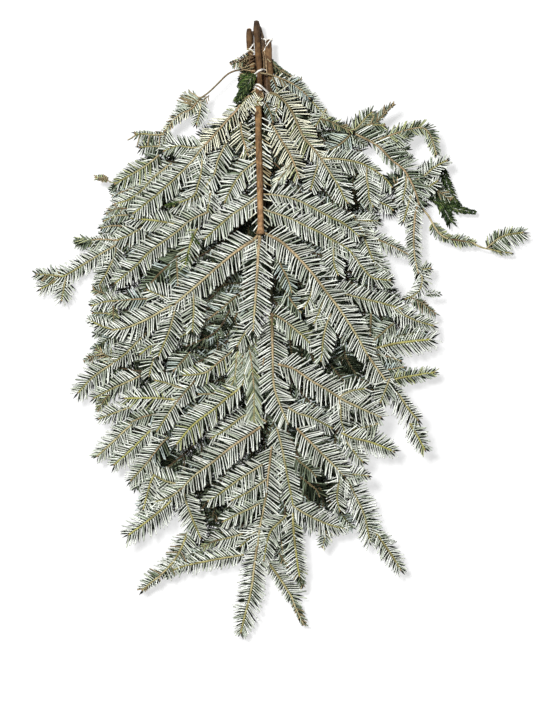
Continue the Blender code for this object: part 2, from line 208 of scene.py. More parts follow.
def woodFinish():
    s = Shading("twigs")
    place = s.sheetPlace()
    age = s.axis(place, "X")  # from near-black, painted shade for hidden twigs, through old grey wood to this year's growth
    bark = s.ramp(age, [
        (0.0, (0.034, 0.022, 0.014)), (0.15, (0.150, 0.086, 0.044)), (0.32, (0.220, 0.185, 0.095)),
        (0.50, (0.440, 0.300, 0.165)), (0.60, (0.500, 0.388, 0.226)), (0.74, (0.495, 0.445, 0.240)),
        (0.86, (0.455, 0.428, 0.150)), (1.0, (0.410, 0.420, 0.086)),
    ])
    stretch = s.vector("MULTIPLY", place, (120.0, 34.0, 1.0))
    scars = s.scars(stretch, "2D")
    fine = s.grain(stretch, 2.3, 3.0, "2D")
    patches = s.grain(stretch, 0.4, 2.0, "2D")
    ring = s.band(scars, 0.10, 0.22, 0.24, 0.42)
    pale = s.blend(0.5 * ring * s.step(age, 0.12, 0.40), bark, (0.62, 0.54, 0.34))
    pale = s.blend(0.55 * s.step(patches, 0.50, 0.62), pale, (0.120, 0.100, 0.040))
    dark = s.blend(0.75 * s.step(fine, 0.42, 0.72), pale, (0.10, 0.055, 0.028))
    colour = s.blend(1.0 - s.step(scars, 0.04, 0.12), dark, (0.09, 0.05, 0.03))
    return s.finish(colour, 0.62 + 0.2 * fine, 0.3, (ring + 0.6 * fine, 0.0003, 0.9))


def stemFinish(name, stops):  # colours along the stem, from y 0.14 m to its cut end
    s = Shading(name)
    place = s.objectPlace()
    ends = {"Value": s.axis(place, "Y"), "From Min": 0.14, "From Max": 0.49}
    bark = s.ramp(s.node("ShaderNodeMapRange", None, ends), stops)
    fibre = s.grain(s.vector("MULTIPLY", place, (330.0, 42.0, 330.0)), 1.0, 5.0, roughness=0.65)
    scars = s.scars(s.vector("MULTIPLY", place, (230.0, 150.0, 230.0)), randomness=0.8)
    blotch = s.grain(place, 55.0, 3.0)
    ring = s.band(scars, 0.16, 0.24, 0.26, 0.38)
    lighter = s.blend(1.0, bark, (1.75, 1.85, 1.85), "MULTIPLY")
    darker = s.blend(1.0, bark, (0.20, 0.18, 0.18), "MULTIPLY")
    colour = s.blend(s.step(fibre, 0.46, 0.58) * 0.62, bark, darker)
    colour = s.blend(s.step(blotch, 0.49, 0.58) * 0.80, colour, lighter)
    colour = s.blend(ring * 0.55, colour, lighter)
    colour = s.blend(1.0 - s.step(scars, 0.05, 0.13), colour, darker)
    height = fibre + 0.7 * ring + 0.5 * blotch
    return s.finish(colour, 0.70 + 0.18 * fibre, 0.25, (height, 0.0008, 0.9))


def cutFinish():
    s = Shading("cut_wood")
    place = s.objectPlace()
    grain = s.grain(place, 900.0, 3.0)
    stain = s.grain(place, 260.0, 2.0)
    colour = s.blend(s.step(grain, 0.3, 0.7), (0.300, 0.185, 0.100), (0.470, 0.330, 0.190))
    colour = s.blend(s.step(stain, 0.45, 0.62), colour, (0.120, 0.070, 0.040))
    return s.finish(colour, 0.8, bump=(grain, 0.0003, 0.6))


def twineFinish():
    s = Shading("twine")
    place = s.objectPlace()
    fibre = s.grain(place, 2600.0, 3.0)
    soil = s.grain(place, 140.0, 2.0)
    colour = s.blend(s.step(fibre, 0.35, 0.65), (0.62, 0.59, 0.52), (0.93, 0.92, 0.88))
    colour = s.blend(s.step(soil, 0.55, 0.75) * 0.4, colour, (0.62, 0.52, 0.36))
    return s.finish(colour, 0.9, bump=(fibre, 0.0003, 0.7))


finishes = {
    "needles": needleFinish(), "twigs": woodFinish(), "cut": cutFinish(), "twine": twineFinish(),
    "bark": stemFinish("bark", [
        (0.0, (0.246, 0.138, 0.066)), (0.30, (0.210, 0.117, 0.052)), (0.60, (0.148, 0.081, 0.032)),
        (0.80, (0.104, 0.052, 0.020)), (0.90, (0.082, 0.042, 0.015)), (1.0, (0.040, 0.022, 0.012)),
    ]),
    # painted shade: the back stem's bark is near black where it lies behind and under the others, and its
    # own grey-brown at the top
    "shadedBark": stemFinish("shaded_bark", [
        (0.0, (0.030, 0.028, 0.014)), (0.66, (0.040, 0.030, 0.016)), (0.74, (0.100, 0.050, 0.024)),
        (0.88, (0.100, 0.062, 0.036)), (1.0, (0.080, 0.055, 0.036)),
    ]),
    # painted shade: the right stem's bark is near black below the tie, where the needles shade it, and
    # red-brown above
    "redShadedBark": stemFinish("red_shaded_bark", [
        (0.0, (0.034, 0.024, 0.012)), (0.66, (0.038, 0.024, 0.012)), (0.75, (0.070, 0.038, 0.015)),
        (0.84, (0.115, 0.062, 0.028)), (1.0, (0.048, 0.028, 0.016)),
    ]),
}
print("finishes made")


def meshFrom(bm, name):
    mesh = bpy.data.meshes.new(name)
    bm.to_mesh(mesh)
    bm.free()
    return mesh


def addObject(name, data):
    made = bpy.data.objects.new(name, data)
    bpy.context.scene.collection.objects.link(made)
    return made


def addPiece(name, mesh, materials, covers):
    mesh.shade_smooth()
    for material in materials:
        mesh.materials.append(finishes[material])
    piece = addObject(name, mesh)
    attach(piece, "root")
    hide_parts(*covers)


needle = {
    "rings": [(0.0, 0.52, 1.0), (0.24, 0.96, 1.0), (0.91, 0.88, 0.8)],  # along, width, depth
    "plainRings": [(0.0, 0.60, 1.0), (0.55, 1.0, 1.0)],  # needles that are mostly hidden
    "tipRing": (1.0, 0.4, 0.4),
    "halfWidth": 1.08,
    "halfDepth": 0.30,
    "underWidth": 1.45,  # the dark needles behind look wider, as they overlap
    "margin": 0.03,  # strip left clear round each half of a cell
}
bud = {
    "sides": 6, "rings": 4, "size": 1.25, "sideSize": 0.95, "spread": 0.7,
    "ahead": 1.2, "halfWidth": 0.75, "halfLength": 1.5,  # these three in sizes of the bud
}


class Stamp:  # a small closed shape, as arrays, that is copied many times
    def __init__(self, bm, mapping):
        bm.normal_update()
        bm.verts.index_update()
        self.points = np.array([v.co[:] for v in bm.verts])
        corners = [(face, loop) for face in bm.faces for loop in face.loops]
        self.corners = np.array([loop.vert.index for _, loop in corners])
        self.starts = np.cumsum([0] + [len(face.loops) for face in bm.faces])[:-1]
        self.uv = np.array([mapping(face, loop.vert.co) for face, loop in corners])
        bm.free()

    def mesh(self, name, copies, uv):  # a copy is its origin, its three axes and its bend
        origin, side, along, face, bend = np.array(copies).swapaxes(0, 1)[:, :, None, :]
        x, y, z = (self.points[None, :, axis, None] for axis in range(3))
        points = origin + side * x + along * y + face * z + bend * y ** 2
        jumps = np.arange(len(copies))[:, None]
        corners = self.corners[None] + jumps * len(self.points)
        starts = self.starts[None] + jumps * len(self.corners)
        made = bpy.data.meshes.new(name)
        made.vertices.add(points.size // 3)
        made.vertices.foreach_set("co", points.astype(np.float32).ravel())
        made.loops.add(corners.size)
        made.loops.foreach_set("vertex_index", corners.astype(np.int32).ravel())
        made.polygons.add(starts.size)
        made.polygons.foreach_set("loop_start", starts.astype(np.int32).ravel())
        made.update(calc_edges=True)
        made.uv_layers.new(name=mapName).uv.foreach_set("vector", uv.astype(np.float32).ravel())
        return made


def needleStamp(rings):
    bm = bmesh.new()
    ring = bmesh.ops.create_circle(bm, cap_ends=True, segments=4, radius=1.0)["verts"]
    bmesh.ops.rotate(bm, verts=ring, matrix=Matrix.Rotation(math.radians(90), 3, "X"))
    bmesh.ops.scale(bm, verts=ring, vec=(rings[0][1], 1.0, rings[0][2]))
    cap = list(bm.faces)
    for (start, width, depth), (end, nextWidth, nextDepth) in zip(rings, [*rings[1:], needle["tipRing"]]):
        grown = bmesh.ops.extrude_face_region(bm, geom=cap)["geom"]
        ring = [part for part in grown if isinstance(part, bmesh.types.BMVert)]
        cap = [part for part in grown if isinstance(part, bmesh.types.BMFace)]
        bmesh.ops.scale(bm, verts=ring, vec=(nextWidth / width, 1.0, nextDepth / depth))
        bmesh.ops.translate(bm, verts=ring, vec=(0.0, end - start, 0.0))
    bmesh.ops.pointmerge(bm, verts=ring, merge_co=(0.0, 1.0, 0.0))
    bmesh.ops.recalc_face_normals(bm, faces=bm.faces)

    def mapping(face, point):  # silver side in the left half of a cell, green side in the right
        side = 0.0 if face.normal.z > 0 else 0.5
        across = 0.5 + 0.5 * (point.x > 1e-4) - 0.5 * (point.x < -1e-4)
        margin = needle["margin"]
        return side + margin + (0.5 - 2 * margin) * across, margin + (1 - 2 * margin) * point.y

    return Stamp(bm, mapping)


def budStamp():
    bm = bmesh.new()
    bmesh.ops.create_uvsphere(bm, u_segments=bud["sides"], v_segments=bud["rings"], radius=1.0)
    return Stamp(bm, lambda face, point: (0.50 + 0.05 * point.x, 0.5 + 0.3 * point.y))


fineNeedle = needleStamp(needle["rings"])
plainNeedle = needleStamp(needle["plainRings"])
budShape = budStamp()


def smoothRoute(points, spacing, between=12):  # even steps along a Catmull-Rom curve
    points = [np.array(point, float) for point in points]
    ends = [2 * points[0] - points[1], *points, 2 * points[-1] - points[-2]]
    fine = []
    for before, start, end, after in zip(ends, ends[1:], ends[2:], ends[3:]):
        for step in range(between):
            t = step / between
            fine.append(
                start + 0.5 * t * (end - before)
                + t ** 2 * (before - 2.5 * start + 2 * end - 0.5 * after)
                + t ** 3 * (1.5 * (start - end) + 0.5 * (after - before))
            )
    fine = np.array([*fine, points[-1]])
    travelled = np.concatenate([[0.0], np.cumsum(np.linalg.norm(np.diff(fine, axis=0), axis=1))])
    stops = np.linspace(0.0, travelled[-1], max(int(travelled[-1] / spacing), 3) + 1)
    axes = [np.interp(stops, travelled, fine[:, axis]) for axis in range(fine.shape[1])]
    return [Vector(place) for place in zip(*axes)]


def evened(heights, times):  # each height becomes the mean of itself and its neighbours
    for _ in range(times):
        rows = [heights[max(index - 1, 0):index + 2] for index in range(len(heights))]
        heights = [sum(row) / len(row) for row in rows]
    return heights


def heading(route, first, last):
    return (route[min(last, len(route) - 1)] - route[max(first, 0)]).normalized()


class Ground:  # heights of the middle of some CAD solids
    def __init__(self, names):
        self.trees = []
        for name in names:
            mesh = nodes[name].data
            faces = [tuple(face.vertices) for face in mesh.polygons]
            self.trees.append(BVHTree.FromPolygons([v.co for v in mesh.vertices], faces))

    def height(self, x, y):
        x, y = x * mm, y * mm
        nearest = None
        for tree in self.trees:
            top = tree.ray_cast(Vector((x, y, 1.0)), -upward)[0]
            if top:
                bottom = tree.ray_cast(Vector((x, y, -1.0)), upward)[0]
                return (top.z + bottom.z) / 2 / mm
            for probe in (0.01, 0.03, 0.05, 0.07):  # beside the solid: the height of its nearest point
                point = tree.find_nearest(Vector((x, y, probe)))[0]
                flat = (point.xy - Vector((x, y))).length
                if nearest is None or flat < nearest[0]:
                    nearest = (flat, point.z)
        return nearest[1] / mm


heap = {  # the hidden boughs: how high they lie, and the outline that their side shoots stay inside
    "rim": 34, "crown": 52, "spread": 260, "top": 520, "topSlope": 360, "foot": -520, "footSlope": 400,
    "outline": [
        (-45, 400), (-52, 372), (-86, 328), (-116, 318), (-150, 288), (-182, 304), (-212, 290),
        (-216, 268), (-252, 238), (-256, 200), (-270, 165), (-286, 138), (-300, 112), (-280, 82),
        (-291, 50), (-290, 20), (-283, -12), (-297, -50), (-303, -80), (-290, -112), (-268, -150),
        (-274, -190), (-240, -208), (-208, -250), (-214, -290), (-192, -308), (-156, -296),
        (-140, -320), (-158, -358), (-140, -374), (-72, -368), (-45, -392), (-22, -384), (18, -398),
        (28, -360), (36, -332), (70, -330), (116, -308), (146, -324), (148, -300), (120, -262),
        (124, -220), (152, -186), (150, -150), (180, -120), (195, -92), (190, -50), (224, -20),
        (234, 10), (220, 38), (195, 44), (170, 80), (164, 112), (152, 158), (176, 182), (208, 168),
        (238, 186), (272, 196), (264, 250), (250, 268), (228, 256), (204, 276), (180, 308),
        (150, 328), (98, 318), (70, 344), (24, 388), (0, 402),
    ],
    # x, y, radius of the places left open
    "openings": [
        (158, 272, 22), (179, 244, 31), (229, 286, 16), (186, 160, 26), (-149, 322, 22), (92, 342, 10),
    ],
}


def heapHeight(x, y):
    slopes = ((heap["top"] - y) / heap["topSlope"], (y - heap["foot"]) / heap["footSlope"])
    ends = [min(max(share, 0.0), 1.0) for share in slopes]
    ends = [share * share * (3 - 2 * share) for share in ends]
    return heap["rim"] + heap["crown"] * math.exp(-(x / heap["spread"]) ** 2) * ends[0] * ends[1]


def within(spots, x, y):
    return any(math.hypot(x - middleX, y - middleY) < size for middleX, middleY, size in spots)


def inHeap(x, y):  # counts the outline's edges on one side of the point
    if within(heap["openings"], x, y):
        return False
    inside = False
    corners = heap["outline"]
    for (x1, y1), (x2, y2) in zip(corners, corners[1:] + corners[:1]):
        if (y1 > y) != (y2 > y) and x < x1 + (x2 - x1) * (y - y1) / (y2 - y1):
            inside = not inside
    return inside


anyShoot = {  # what holds for a shoot unless its kind, or the shoot itself, says otherwise
    "angle": 64,  # between a needle and its twig, mid-shoot
    "lean": 0,  # degrees that the left needles open by and the right ones close by
    "roll": 0,  # of the whole shoot, in degrees: at 180 the green side is up
    "sides": (1, -1),  # left, right
    "sizes": {1: 1.0, -1: 1.0},
    "bare": 0.0,  # length without needles at the base
    "tipRun": 36,  # length over which needles close and shorten
    "tipSize": 0.5,
    "between": 1.0,  # share of needles in between and below
    "under": {"shade": 9, "deep": 1},  # their tones: dark ones, painted shade in the gaps
    "offset": 0.9,  # from the twig's middle to a needle's base
    "level": None,  # share of the heap's height, for hidden shoots
    "over": None,  # the solid it lies on, where that isn't the piece's own
    "plain": False,  # hidden shoots have plain needles
    "darkens": True,  # and those take the darkest tone in a hollow, as painted shade
}


# Each kind of shoot becomes a function that is given a lift above the solid's middle, the points
# of a route and what it changes. Tones are given by name, as shares, and then replace the kind's.
def shootKind(kind):
    def shoot(lift, *points, **changes):
        tones = {name: changes.pop(name) for name in list(changes) if name in needleTones}
        if tones:
            changes["tones"] = tones
        return {**anyShoot, **kind, **changes, "lift": lift, "points": points}
    return shoot


# Wood radii, or None for no twig of its own, and ages, both from base to tip (ages near 0 are near
# black, painted shade for hidden twigs); needle length; step between the needles of one side; tones.
limb = shootKind({"wood": (1.9, 1.15), "age": (0.52, 0.74), "reach": 29, "pitch": 4.3,
                  "tones": {"frost": 9, "silver": 2}})
twig = shootKind({"wood": (1.2, 0.85), "age": (0.64, 0.95), "reach": 24, "pitch": 4.1,
                  "tones": {"frost": 7, "silver": 3}})
young = shootKind({"wood": (1.35, 1.0), "age": (0.86, 1.0), "reach": 22, "pitch": 4.0,
                   "tones": {"frost": 6, "silver": 3, "lime": 1}})
cream = shootKind({"wood": (1.7, 1.1), "age": (0.40, 0.50), "reach": 25, "pitch": 4.3,
                   "tones": {"cream": 9, "frost": 2, "lime": 1}})
dim = shootKind({"wood": (1.2, 0.85), "age": (0.24, 0.80), "reach": 24, "pitch": 4.2,
                 "tones": {"frost": 1, "silver": 5, "blue": 3, "deep": 1}})
olive = shootKind({"wood": (1.2, 0.8), "age": (0.20, 0.40), "reach": 17, "pitch": 3.8, "angle": 56,
                   "tones": {"silver": 3, "deep": 3, "lime": 2, "straw": 2}})
fuzzy = shootKind({"wood": (1.1, 0.8), "age": (0.30, 0.90), "reach": 24, "pitch": 3.1, "angle": 34,
                   "tones": {"silver": 6, "deep": 3, "frost": 1, "lime": 2}})
green = shootKind({"wood": (1.2, 0.8), "age": (0.60, 0.90), "reach": 22, "pitch": 3.0, "angle": 50,
                   "tones": {"silver": 4, "shade": 4, "lime": 1}, "under": {"silver": 4, "shade": 4},
                   "roll": 180})
sparse = shootKind({"wood": (1.1, 0.7), "age": (0.20, 0.60), "reach": 13, "pitch": 4.6, "between": 0.5,
                    "tones": {"silver": 4, "lime": 3, "deep": 2}})
bare = shootKind({"wood": (1.1, 0.7), "age": (0.15, 0.50), "reach": 0})
onStem = shootKind({"wood": None, "reach": 19, "pitch": 10.0, "between": 0.6, "offset": 3.4,
                    "tones": {"cream": 3, "frost": 6, "straw": 1}})
tuft = shootKind({"wood": None, "reach": 22, "pitch": 3.0, "between": 0.4, "offset": 1.0,
                  "tones": {"cream": 6, "frost": 3, "lime": 1}})
# inner and bottom: hidden shoots, whose dark tones and near-black wood are painted shade; sunken: shoots in
# a hollow's bottom, in dark tones that are painted shade
inner = shootKind({"wood": (1.0, 0.7), "age": (0.0, 0.06), "reach": 24, "pitch": 4.3, "between": 0.3,
                   "tones": {"silver": 1, "blue": 3, "deep": 6, "shade": 7}, "plain": True})
bottom = shootKind({"wood": (1.0, 0.7), "age": (0.0, 0.04), "reach": 25, "pitch": 4.3, "between": 0.5,
                    "tones": {"shade": 8, "deep": 1}, "plain": True})
sunken = shootKind({"wood": (1.5, 1.1), "age": (0.5, 0.62), "reach": 25, "pitch": 3.8, "between": 0.6,
                    "tones": {"shade": 4, "deep": 6, "blue": 2}, "plain": True, "darkens": False,
                    "level": 0.2})

growth = {  # pairs are ranges that each needle draws from
    "tipAngle": 30,  # between a needle and its twig, at the tip
    "angleScatter": 4.5,
    "stray": 0.08,  # share of needles that point astray
    "strayTurn": (-30, 16),
    "droop": -4,
    "betweenDroop": -15,
    "droopScatter": 5.0,
    "twist": 9,
    "rollScatter": 9,  # of a whole shoot
    "baseRun": 7,  # length over which the first needles are short
    "baseSize": 0.62,
    "size": (0.86, 1.08),
    "betweenSize": (0.84, 1.0),
    "width": (0.88, 1.10),
    "pitch": (0.88, 1.12),
    "curl": 0.13,  # how far a needle bends, in needle lengths
    "curlAhead": (0.3, 1.3),
    "curlDown": (-0.2, 0.9),
    "crossing": 0.10,  # share of needles that lie over the twig
    "woodStep": 5.0,  # between the rings of a twig
    "sway": 0.8,  # height of a shoot's own waves
    "swayRun": 16,
    "lowest": 3.0,  # least height of a shoot's middle
    "clear": 2.0,  # and of a needle's tip
}

# Needles on the twig's far side, which bend towards the tip.
below = {
    "first": 2.0, "step": 3.6, "pitch": (0.7, 1.3), "swing": 60, "angle": (30, 48), "size": (0.42, 0.70),
    "drop": 0.8, "twist": 20, "bend": 0.12,
}

# A hidden limb and its side shoots: where along the limb they start and stop, the run from one to
# the next, their angle, and their length, which tapers to the limb's tip and is cut at the outline.
branching = {
    "wood": (1.5, 1.0), "first": 22, "last": 25, "step": 2.0, "start": (0.6, 1.2), "pitch": 18,
    "pitchScatter": (0.85, 1.15), "angle": 48, "angleScatter": 7, "straighten": 0.6, "lift": -2.0,
    "reach": 64, "size": (0.8, 1.15), "taper": 0.55, "shortest": 22, "shorten": 8,
}

# Shoots across the bottom of a hollow, dark in tone as painted shade: places in sizes of the hollow,
# and each shoot turned (in radians) and sunk a little more than the one before.
hollowFloor = {"shoots": 4, "turn": 0.35, "first": 0.8, "apart": 0.55, "ends": (-1.3, 0.0, 1.2), "sink": 1.5}

# x, y, radius: places where the heap is open down to its dark shoots, by hidden piece; their darkness is
# painted shade.
hollowsOf = {
    "baseUpper": [(2, 262, 6), (120, 215, 9), (185, 235, 8)],
    "baseLeft": [
        (-46, 163, 12), (-75, 150, 12), (-195, 88, 14), (-165, 198, 9), (-220, 210, 10), (-60, 118, 8),
    ],
    "baseRight": [(29, 56, 10), (-3, 156, 12), (-15, 175, 7), (150, -2, 8)],
    "baseLower": [(32, -40, 15)],
    "baseLowLeft": [(-178, -210, 15), (-124, -256, 9), (-108, -300, 9)],
    "baseLowRight": [(106, -60, 17), (57, -255, 20)],
}
hollows = [hollow for group in hollowsOf.values() for hollow in group]


class Spray:  # gathers the needles, buds and wood of one piece
    def __init__(self, name, covers):
        self.name = name
        self.covers = covers
        self.ground = Ground(covers)
        self.random = random.Random(name)
        self.needles = {False: [], True: []}  # fine ones, plain ones
        self.needleCells = {False: [], True: []}
        self.buds = []
        self.wood = []

    def cell(self, tones):
        tone = self.random.choices(list(tones), weights=list(tones.values()))[0]
        return toneOrder.index(tone), self.random.randrange(cells - 1)

    def addNeedle(self, style, tones, base, along, up, length, bend, roll, plain):
        draw = self.random
        lowest = growth["clear"]
        if base.z + (along * length + bend).z < lowest:
            along = Vector((along.x, along.y, (lowest - base.z - bend.z) / length)).normalized()
            bend = Vector((bend.x, bend.y, max(bend.z, 0.0)))
        face = (up - along * up.dot(along)).normalized()
        face = Matrix.Rotation(roll, 3, along) @ face
        width = needle["halfWidth"] * draw.uniform(*growth["width"]) * min(1.0, 0.7 + length / 60)
        if plain and not style["plain"]:
            width *= needle["underWidth"]
        parts = (base, along.cross(face) * width, along * length, face * needle["halfDepth"], bend)
        # painted shade: hidden needles in a hollow take the darkest tone
        if style["plain"] and style["darkens"] and within(hollows, base.x, base.y):
            tones = {"shade": 1}
        self.needles[plain].append([tuple(part * mm) for part in parts])
        self.needleCells[plain].append(self.cell(tones))

    def grow(self, style):
        draw = self.random
        flat = smoothRoute(style["points"], growth["woodStep"])
        if style["level"] is None:
            ground = Ground([style["over"]]) if style["over"] else self.ground
            heights = [ground.height(place.x, place.y) for place in flat]
        else:
            heights = [style["level"] * heapHeight(place.x, place.y) for place in flat]
        wave = draw.uniform(0.0, 6.0)
        route = []
        for index, (place, height) in enumerate(zip(flat, evened(heights, 5))):
            sway = growth["sway"] * math.sin(wave + index * growth["woodStep"] / growth["swayRun"])
            route.append(Vector((place.x, place.y, max(height + style["lift"] + sway, growth["lowest"]))))
        if style["wood"]:
            self.wood.append((route, style["wood"], style["age"], 0 if style["plain"] else 1))
        if style["reach"]:
            self.addNeedles(route, style)
            if style["wood"] and not style["plain"]:
                self.addBuds(route)

    def branch(self, kind, level, points):  # a limb of a hidden bough with its side shoots
        draw = self.random
        self.grow(kind(0, *points, level=level, wood=branching["wood"]))
        step = branching["step"]
        route = smoothRoute(points, step)
        length = step * (len(route) - 1)
        run = branching["first"] * draw.uniform(*branching["start"])
        side = draw.choice((-1, 1))
        while run < length - branching["last"]:
            index = int(run / step)
            ahead = heading(route, index - 1, index + 1)
            scatter = branching["angleScatter"]
            turn = side * math.radians(branching["angle"] + draw.uniform(-scatter, scatter))
            size = min(branching["reach"], branching["taper"] * (length - run) + branching["shortest"])
            size *= draw.uniform(*branching["size"])
            outward = Matrix.Rotation(turn, 2) @ ahead
            forward = Matrix.Rotation(turn * branching["straighten"], 2) @ ahead
            while size > branching["shortest"]:
                middle = route[index] + outward * size * 0.5
                end = middle + forward * size * 0.5
                if inHeap(end.x, end.y) and inHeap(middle.x, middle.y):
                    self.grow(kind(branching["lift"], route[index], middle, end, level=level))
                    break
                size -= branching["shorten"]
            run += branching["pitch"] * draw.uniform(*branching["pitchScatter"])
            side = -side

    def floor(self, middle, size):
        turn = self.random.uniform(0.0, 3.0)
        for step in range(hollowFloor["shoots"]):
            angle = turn + hollowFloor["turn"] * step
            ahead = Vector((math.cos(angle), math.sin(angle)))
            shift = Vector((-ahead.y, ahead.x)) * size * (hollowFloor["apart"] * step - hollowFloor["first"])
            points = [middle + shift + ahead * size * share for share in hollowFloor["ends"]]
            self.grow(sunken(-hollowFloor["sink"] * step, *points))

    def addNeedles(self, route, style):
        draw = self.random
        travelled = [0.0]
        for a, b in zip(route, route[1:]):
            travelled.append(travelled[-1] + (b - a).length)
        length = travelled[-1]
        roll = math.radians(style["roll"] + draw.uniform(-growth["rollScatter"], growth["rollScatter"]))

        def axes(run):
            index = min(max(int(np.searchsorted(travelled, run)) - 1, 0), len(route) - 2)
            share = (run - travelled[index]) / max(travelled[index + 1] - travelled[index], 1e-6)
            ahead = heading(route, index - 1, index + 2)
            up = Matrix.Rotation(roll, 3, ahead) @ (upward - ahead * ahead.z).normalized()
            return route[index].lerp(route[index + 1], share), ahead, up

        for side in style["sides"]:
            run = style["bare"] + draw.uniform(0.5, style["pitch"])
            while run < length:
                self.addLateral(axes(run), run, length, side, True, style)
                halfway = run + 0.5 * style["pitch"]
                if halfway < length and draw.random() < style["between"]:
                    self.addLateral(axes(halfway), halfway, length, side, False, style)
                run += style["pitch"] * draw.uniform(*growth["pitch"])
        run = style["bare"] + below["first"]
        while run < length:
            if draw.random() < style["between"]:
                self.addBelow(axes(run), length - run, style)
            run += below["step"] * draw.uniform(*below["pitch"])

    def addLateral(self, axes, at, length, side, main, style):
        draw = self.random
        point, ahead, up = axes
        left = up.cross(ahead)
        close = min(1.0, (length - at) / min(style["tipRun"], 0.6 * length))  # 0 at the tip
        opening = min(1.0, at / growth["baseRun"])
        tipAngle = min(growth["tipAngle"], style["angle"])
        angle = tipAngle + (style["angle"] + side * style["lean"] - tipAngle) * close ** 0.6
        droop = growth["droop"] if main else growth["betweenDroop"]
        if not main:
            angle -= 3
        if draw.random() < growth["stray"]:
            angle += draw.uniform(*growth["strayTurn"])
        angle = math.radians(angle + draw.gauss(0, growth["angleScatter"]))
        droop = math.radians(droop + draw.gauss(0, growth["droopScatter"]))
        size = style["reach"] * (style["tipSize"] + (1 - style["tipSize"]) * close ** 0.8)
        size *= growth["baseSize"] + (1 - growth["baseSize"]) * opening
        size *= draw.uniform(*growth["size"]) * style["sizes"][side]
        if not main:
            size *= draw.uniform(*growth["betweenSize"])
        sideways = left * side * math.cos(droop) + up * math.sin(droop)
        along = (ahead * math.cos(angle) + sideways * math.sin(angle)).normalized()
        bend = ahead * draw.uniform(*growth["curlAhead"]) - up * draw.uniform(*growth["curlDown"])
        bend = bend * growth["curl"] * size
        base = point + left * side * style["offset"] - up * (0.1 if main else 1.3)
        if main and style["wood"] and draw.random() < growth["crossing"]:
            base = point - left * side * 0.5 + up * (style["wood"][0] + 0.2)
        tones = style["tones"] if main else style["under"]
        twist = math.radians(draw.gauss(0, growth["twist"]))
        self.addNeedle(style, tones, base, along, up, size, bend, twist, style["plain"] or not main)

    def addBelow(self, axes, left, style):
        draw = self.random
        point, ahead, up = axes
        swing = math.radians(draw.uniform(-below["swing"], below["swing"]))
        outward = up.cross(ahead) * math.sin(swing) - up * math.cos(swing)
        angle = math.radians(draw.uniform(*below["angle"]) * min(1.0, 0.5 + left / 30))  # closes at the tip
        along = (ahead * math.cos(angle) + outward * math.sin(angle)).normalized()
        size = style["reach"] * draw.uniform(*below["size"])
        base = point - up * below["drop"]
        twist = math.radians(draw.gauss(0, below["twist"]))
        bend = ahead * below["bend"] * size
        self.addNeedle(style, style["under"], base, along, up, size, bend, twist, True)

    def addBuds(self, route):  # one at the tip of a shoot and one on each side of it
        draw = self.random
        ahead = heading(route, len(route) - 3, len(route) - 1)
        across = ahead.cross(upward).normalized()
        for turn in (-1, 0, 1):
            along = (ahead + across * turn * bud["spread"]).normalized()
            size = (bud["sideSize"] if turn else bud["size"]) * draw.uniform(0.85, 1.1)
            face = (upward - along * along.z).normalized()
            parts = (
                route[-1] + along * size * bud["ahead"], along.cross(face) * size * bud["halfWidth"],
                along * size * bud["halfLength"], face * size * bud["halfWidth"], Vector(),
            )
            self.buds.append([tuple(part * mm) for part in parts])

    def woodMesh(self, route, radii, agesAndShade, resolution):
        curve = bpy.data.curves.new("wood", "CURVE")
        curve.dimensions = "3D"
        curve.bevel_depth = radii[0] * mm
        curve.bevel_resolution = resolution
        curve.use_fill_caps = True
        spline = curve.splines.new("POLY")
        spline.points.add(len(route) - 1)
        for index, (point, place) in enumerate(zip(spline.points, route)):
            share = index / (len(route) - 1)
            knobs = 1.0 + 0.06 * math.sin(index * 2.4)
            point.co = (*(place * mm), 1.0)
            point.radius = (1.0 + (radii[1] / radii[0] - 1.0) * share) * knobs
        holder = addObject("wood", curve)
        mesh = bpy.data.meshes.new_from_object(holder.evaluated_get(bpy.context.evaluated_depsgraph_get()))
        bpy.data.objects.remove(holder)
        bpy.data.curves.remove(curve)
        layer = mesh.uv_layers[0]
        layer.name = mapName
        uv = np.empty(len(mesh.loops) * 2)
        layer.uv.foreach_get("vector", uv)
        along, around = uv.reshape(-1, 2).T
        placed = np.stack([agesAndShade[0] + (agesAndShade[1] - agesAndShade[0]) * along, 1.0 - (0.04 + 0.92 * around) / cells], 1)
        layer.uv.foreach_set("vector", placed.astype(np.float32).ravel())
        return mesh

    def meshes(self):  # each with the place of its material in the piece's list
        for plain, stamp in ((False, fineNeedle), (True, plainNeedle)):
            if self.needles[plain]:
                corner = np.array(self.needleCells[plain])[:, None, :]
                yield stamp.mesh("needles", self.needles[plain], (corner + stamp.uv[None]) / cells), 0
        if self.buds:
            uv = np.repeat(budShape.uv[None], len(self.buds), 0)
            uv[:, :, 1] = 1.0 - uv[:, :, 1] / cells
            yield budShape.mesh("buds", self.buds, uv), 1
        for route, radii, agesAndShade, resolution in self.wood:
            yield self.woodMesh(route, radii, agesAndShade, resolution), 1

    def build(self):
        bm = bmesh.new()
        for mesh, material in self.meshes():
            mesh.polygons.foreach_set("material_index", np.full(len(mesh.polygons), material, np.int32))
            bm.from_mesh(mesh)
            bpy.data.meshes.remove(mesh)
        made = meshFrom(bm, self.name)
        addPiece(self.name, made, ["needles", "twigs"], self.covers)
        return made


totals = {"needles": 0, "triangles": 0}


def buildSpray(name, piece):
    spray = Spray(name, piece["covers"])
    for style in piece.get("shoots", []):
        spray.grow(style)
    for kind, level, points in piece.get("limbs", []):
        spray.branch(kind, level, points)
    for x, y, size in hollowsOf.get(name, []):
        spray.floor(Vector((x, y)), size)
    made = spray.build()
    needles = sum(len(drawn) for drawn in spray.needles.values())
    faces = sum(len(face.vertices) - 2 for face in made.polygons)
    totals["needles"] += needles
    totals["triangles"] += faces
    print(f"{name}: {len(spray.wood)} shoots, {needles} needles, {faces} triangles")


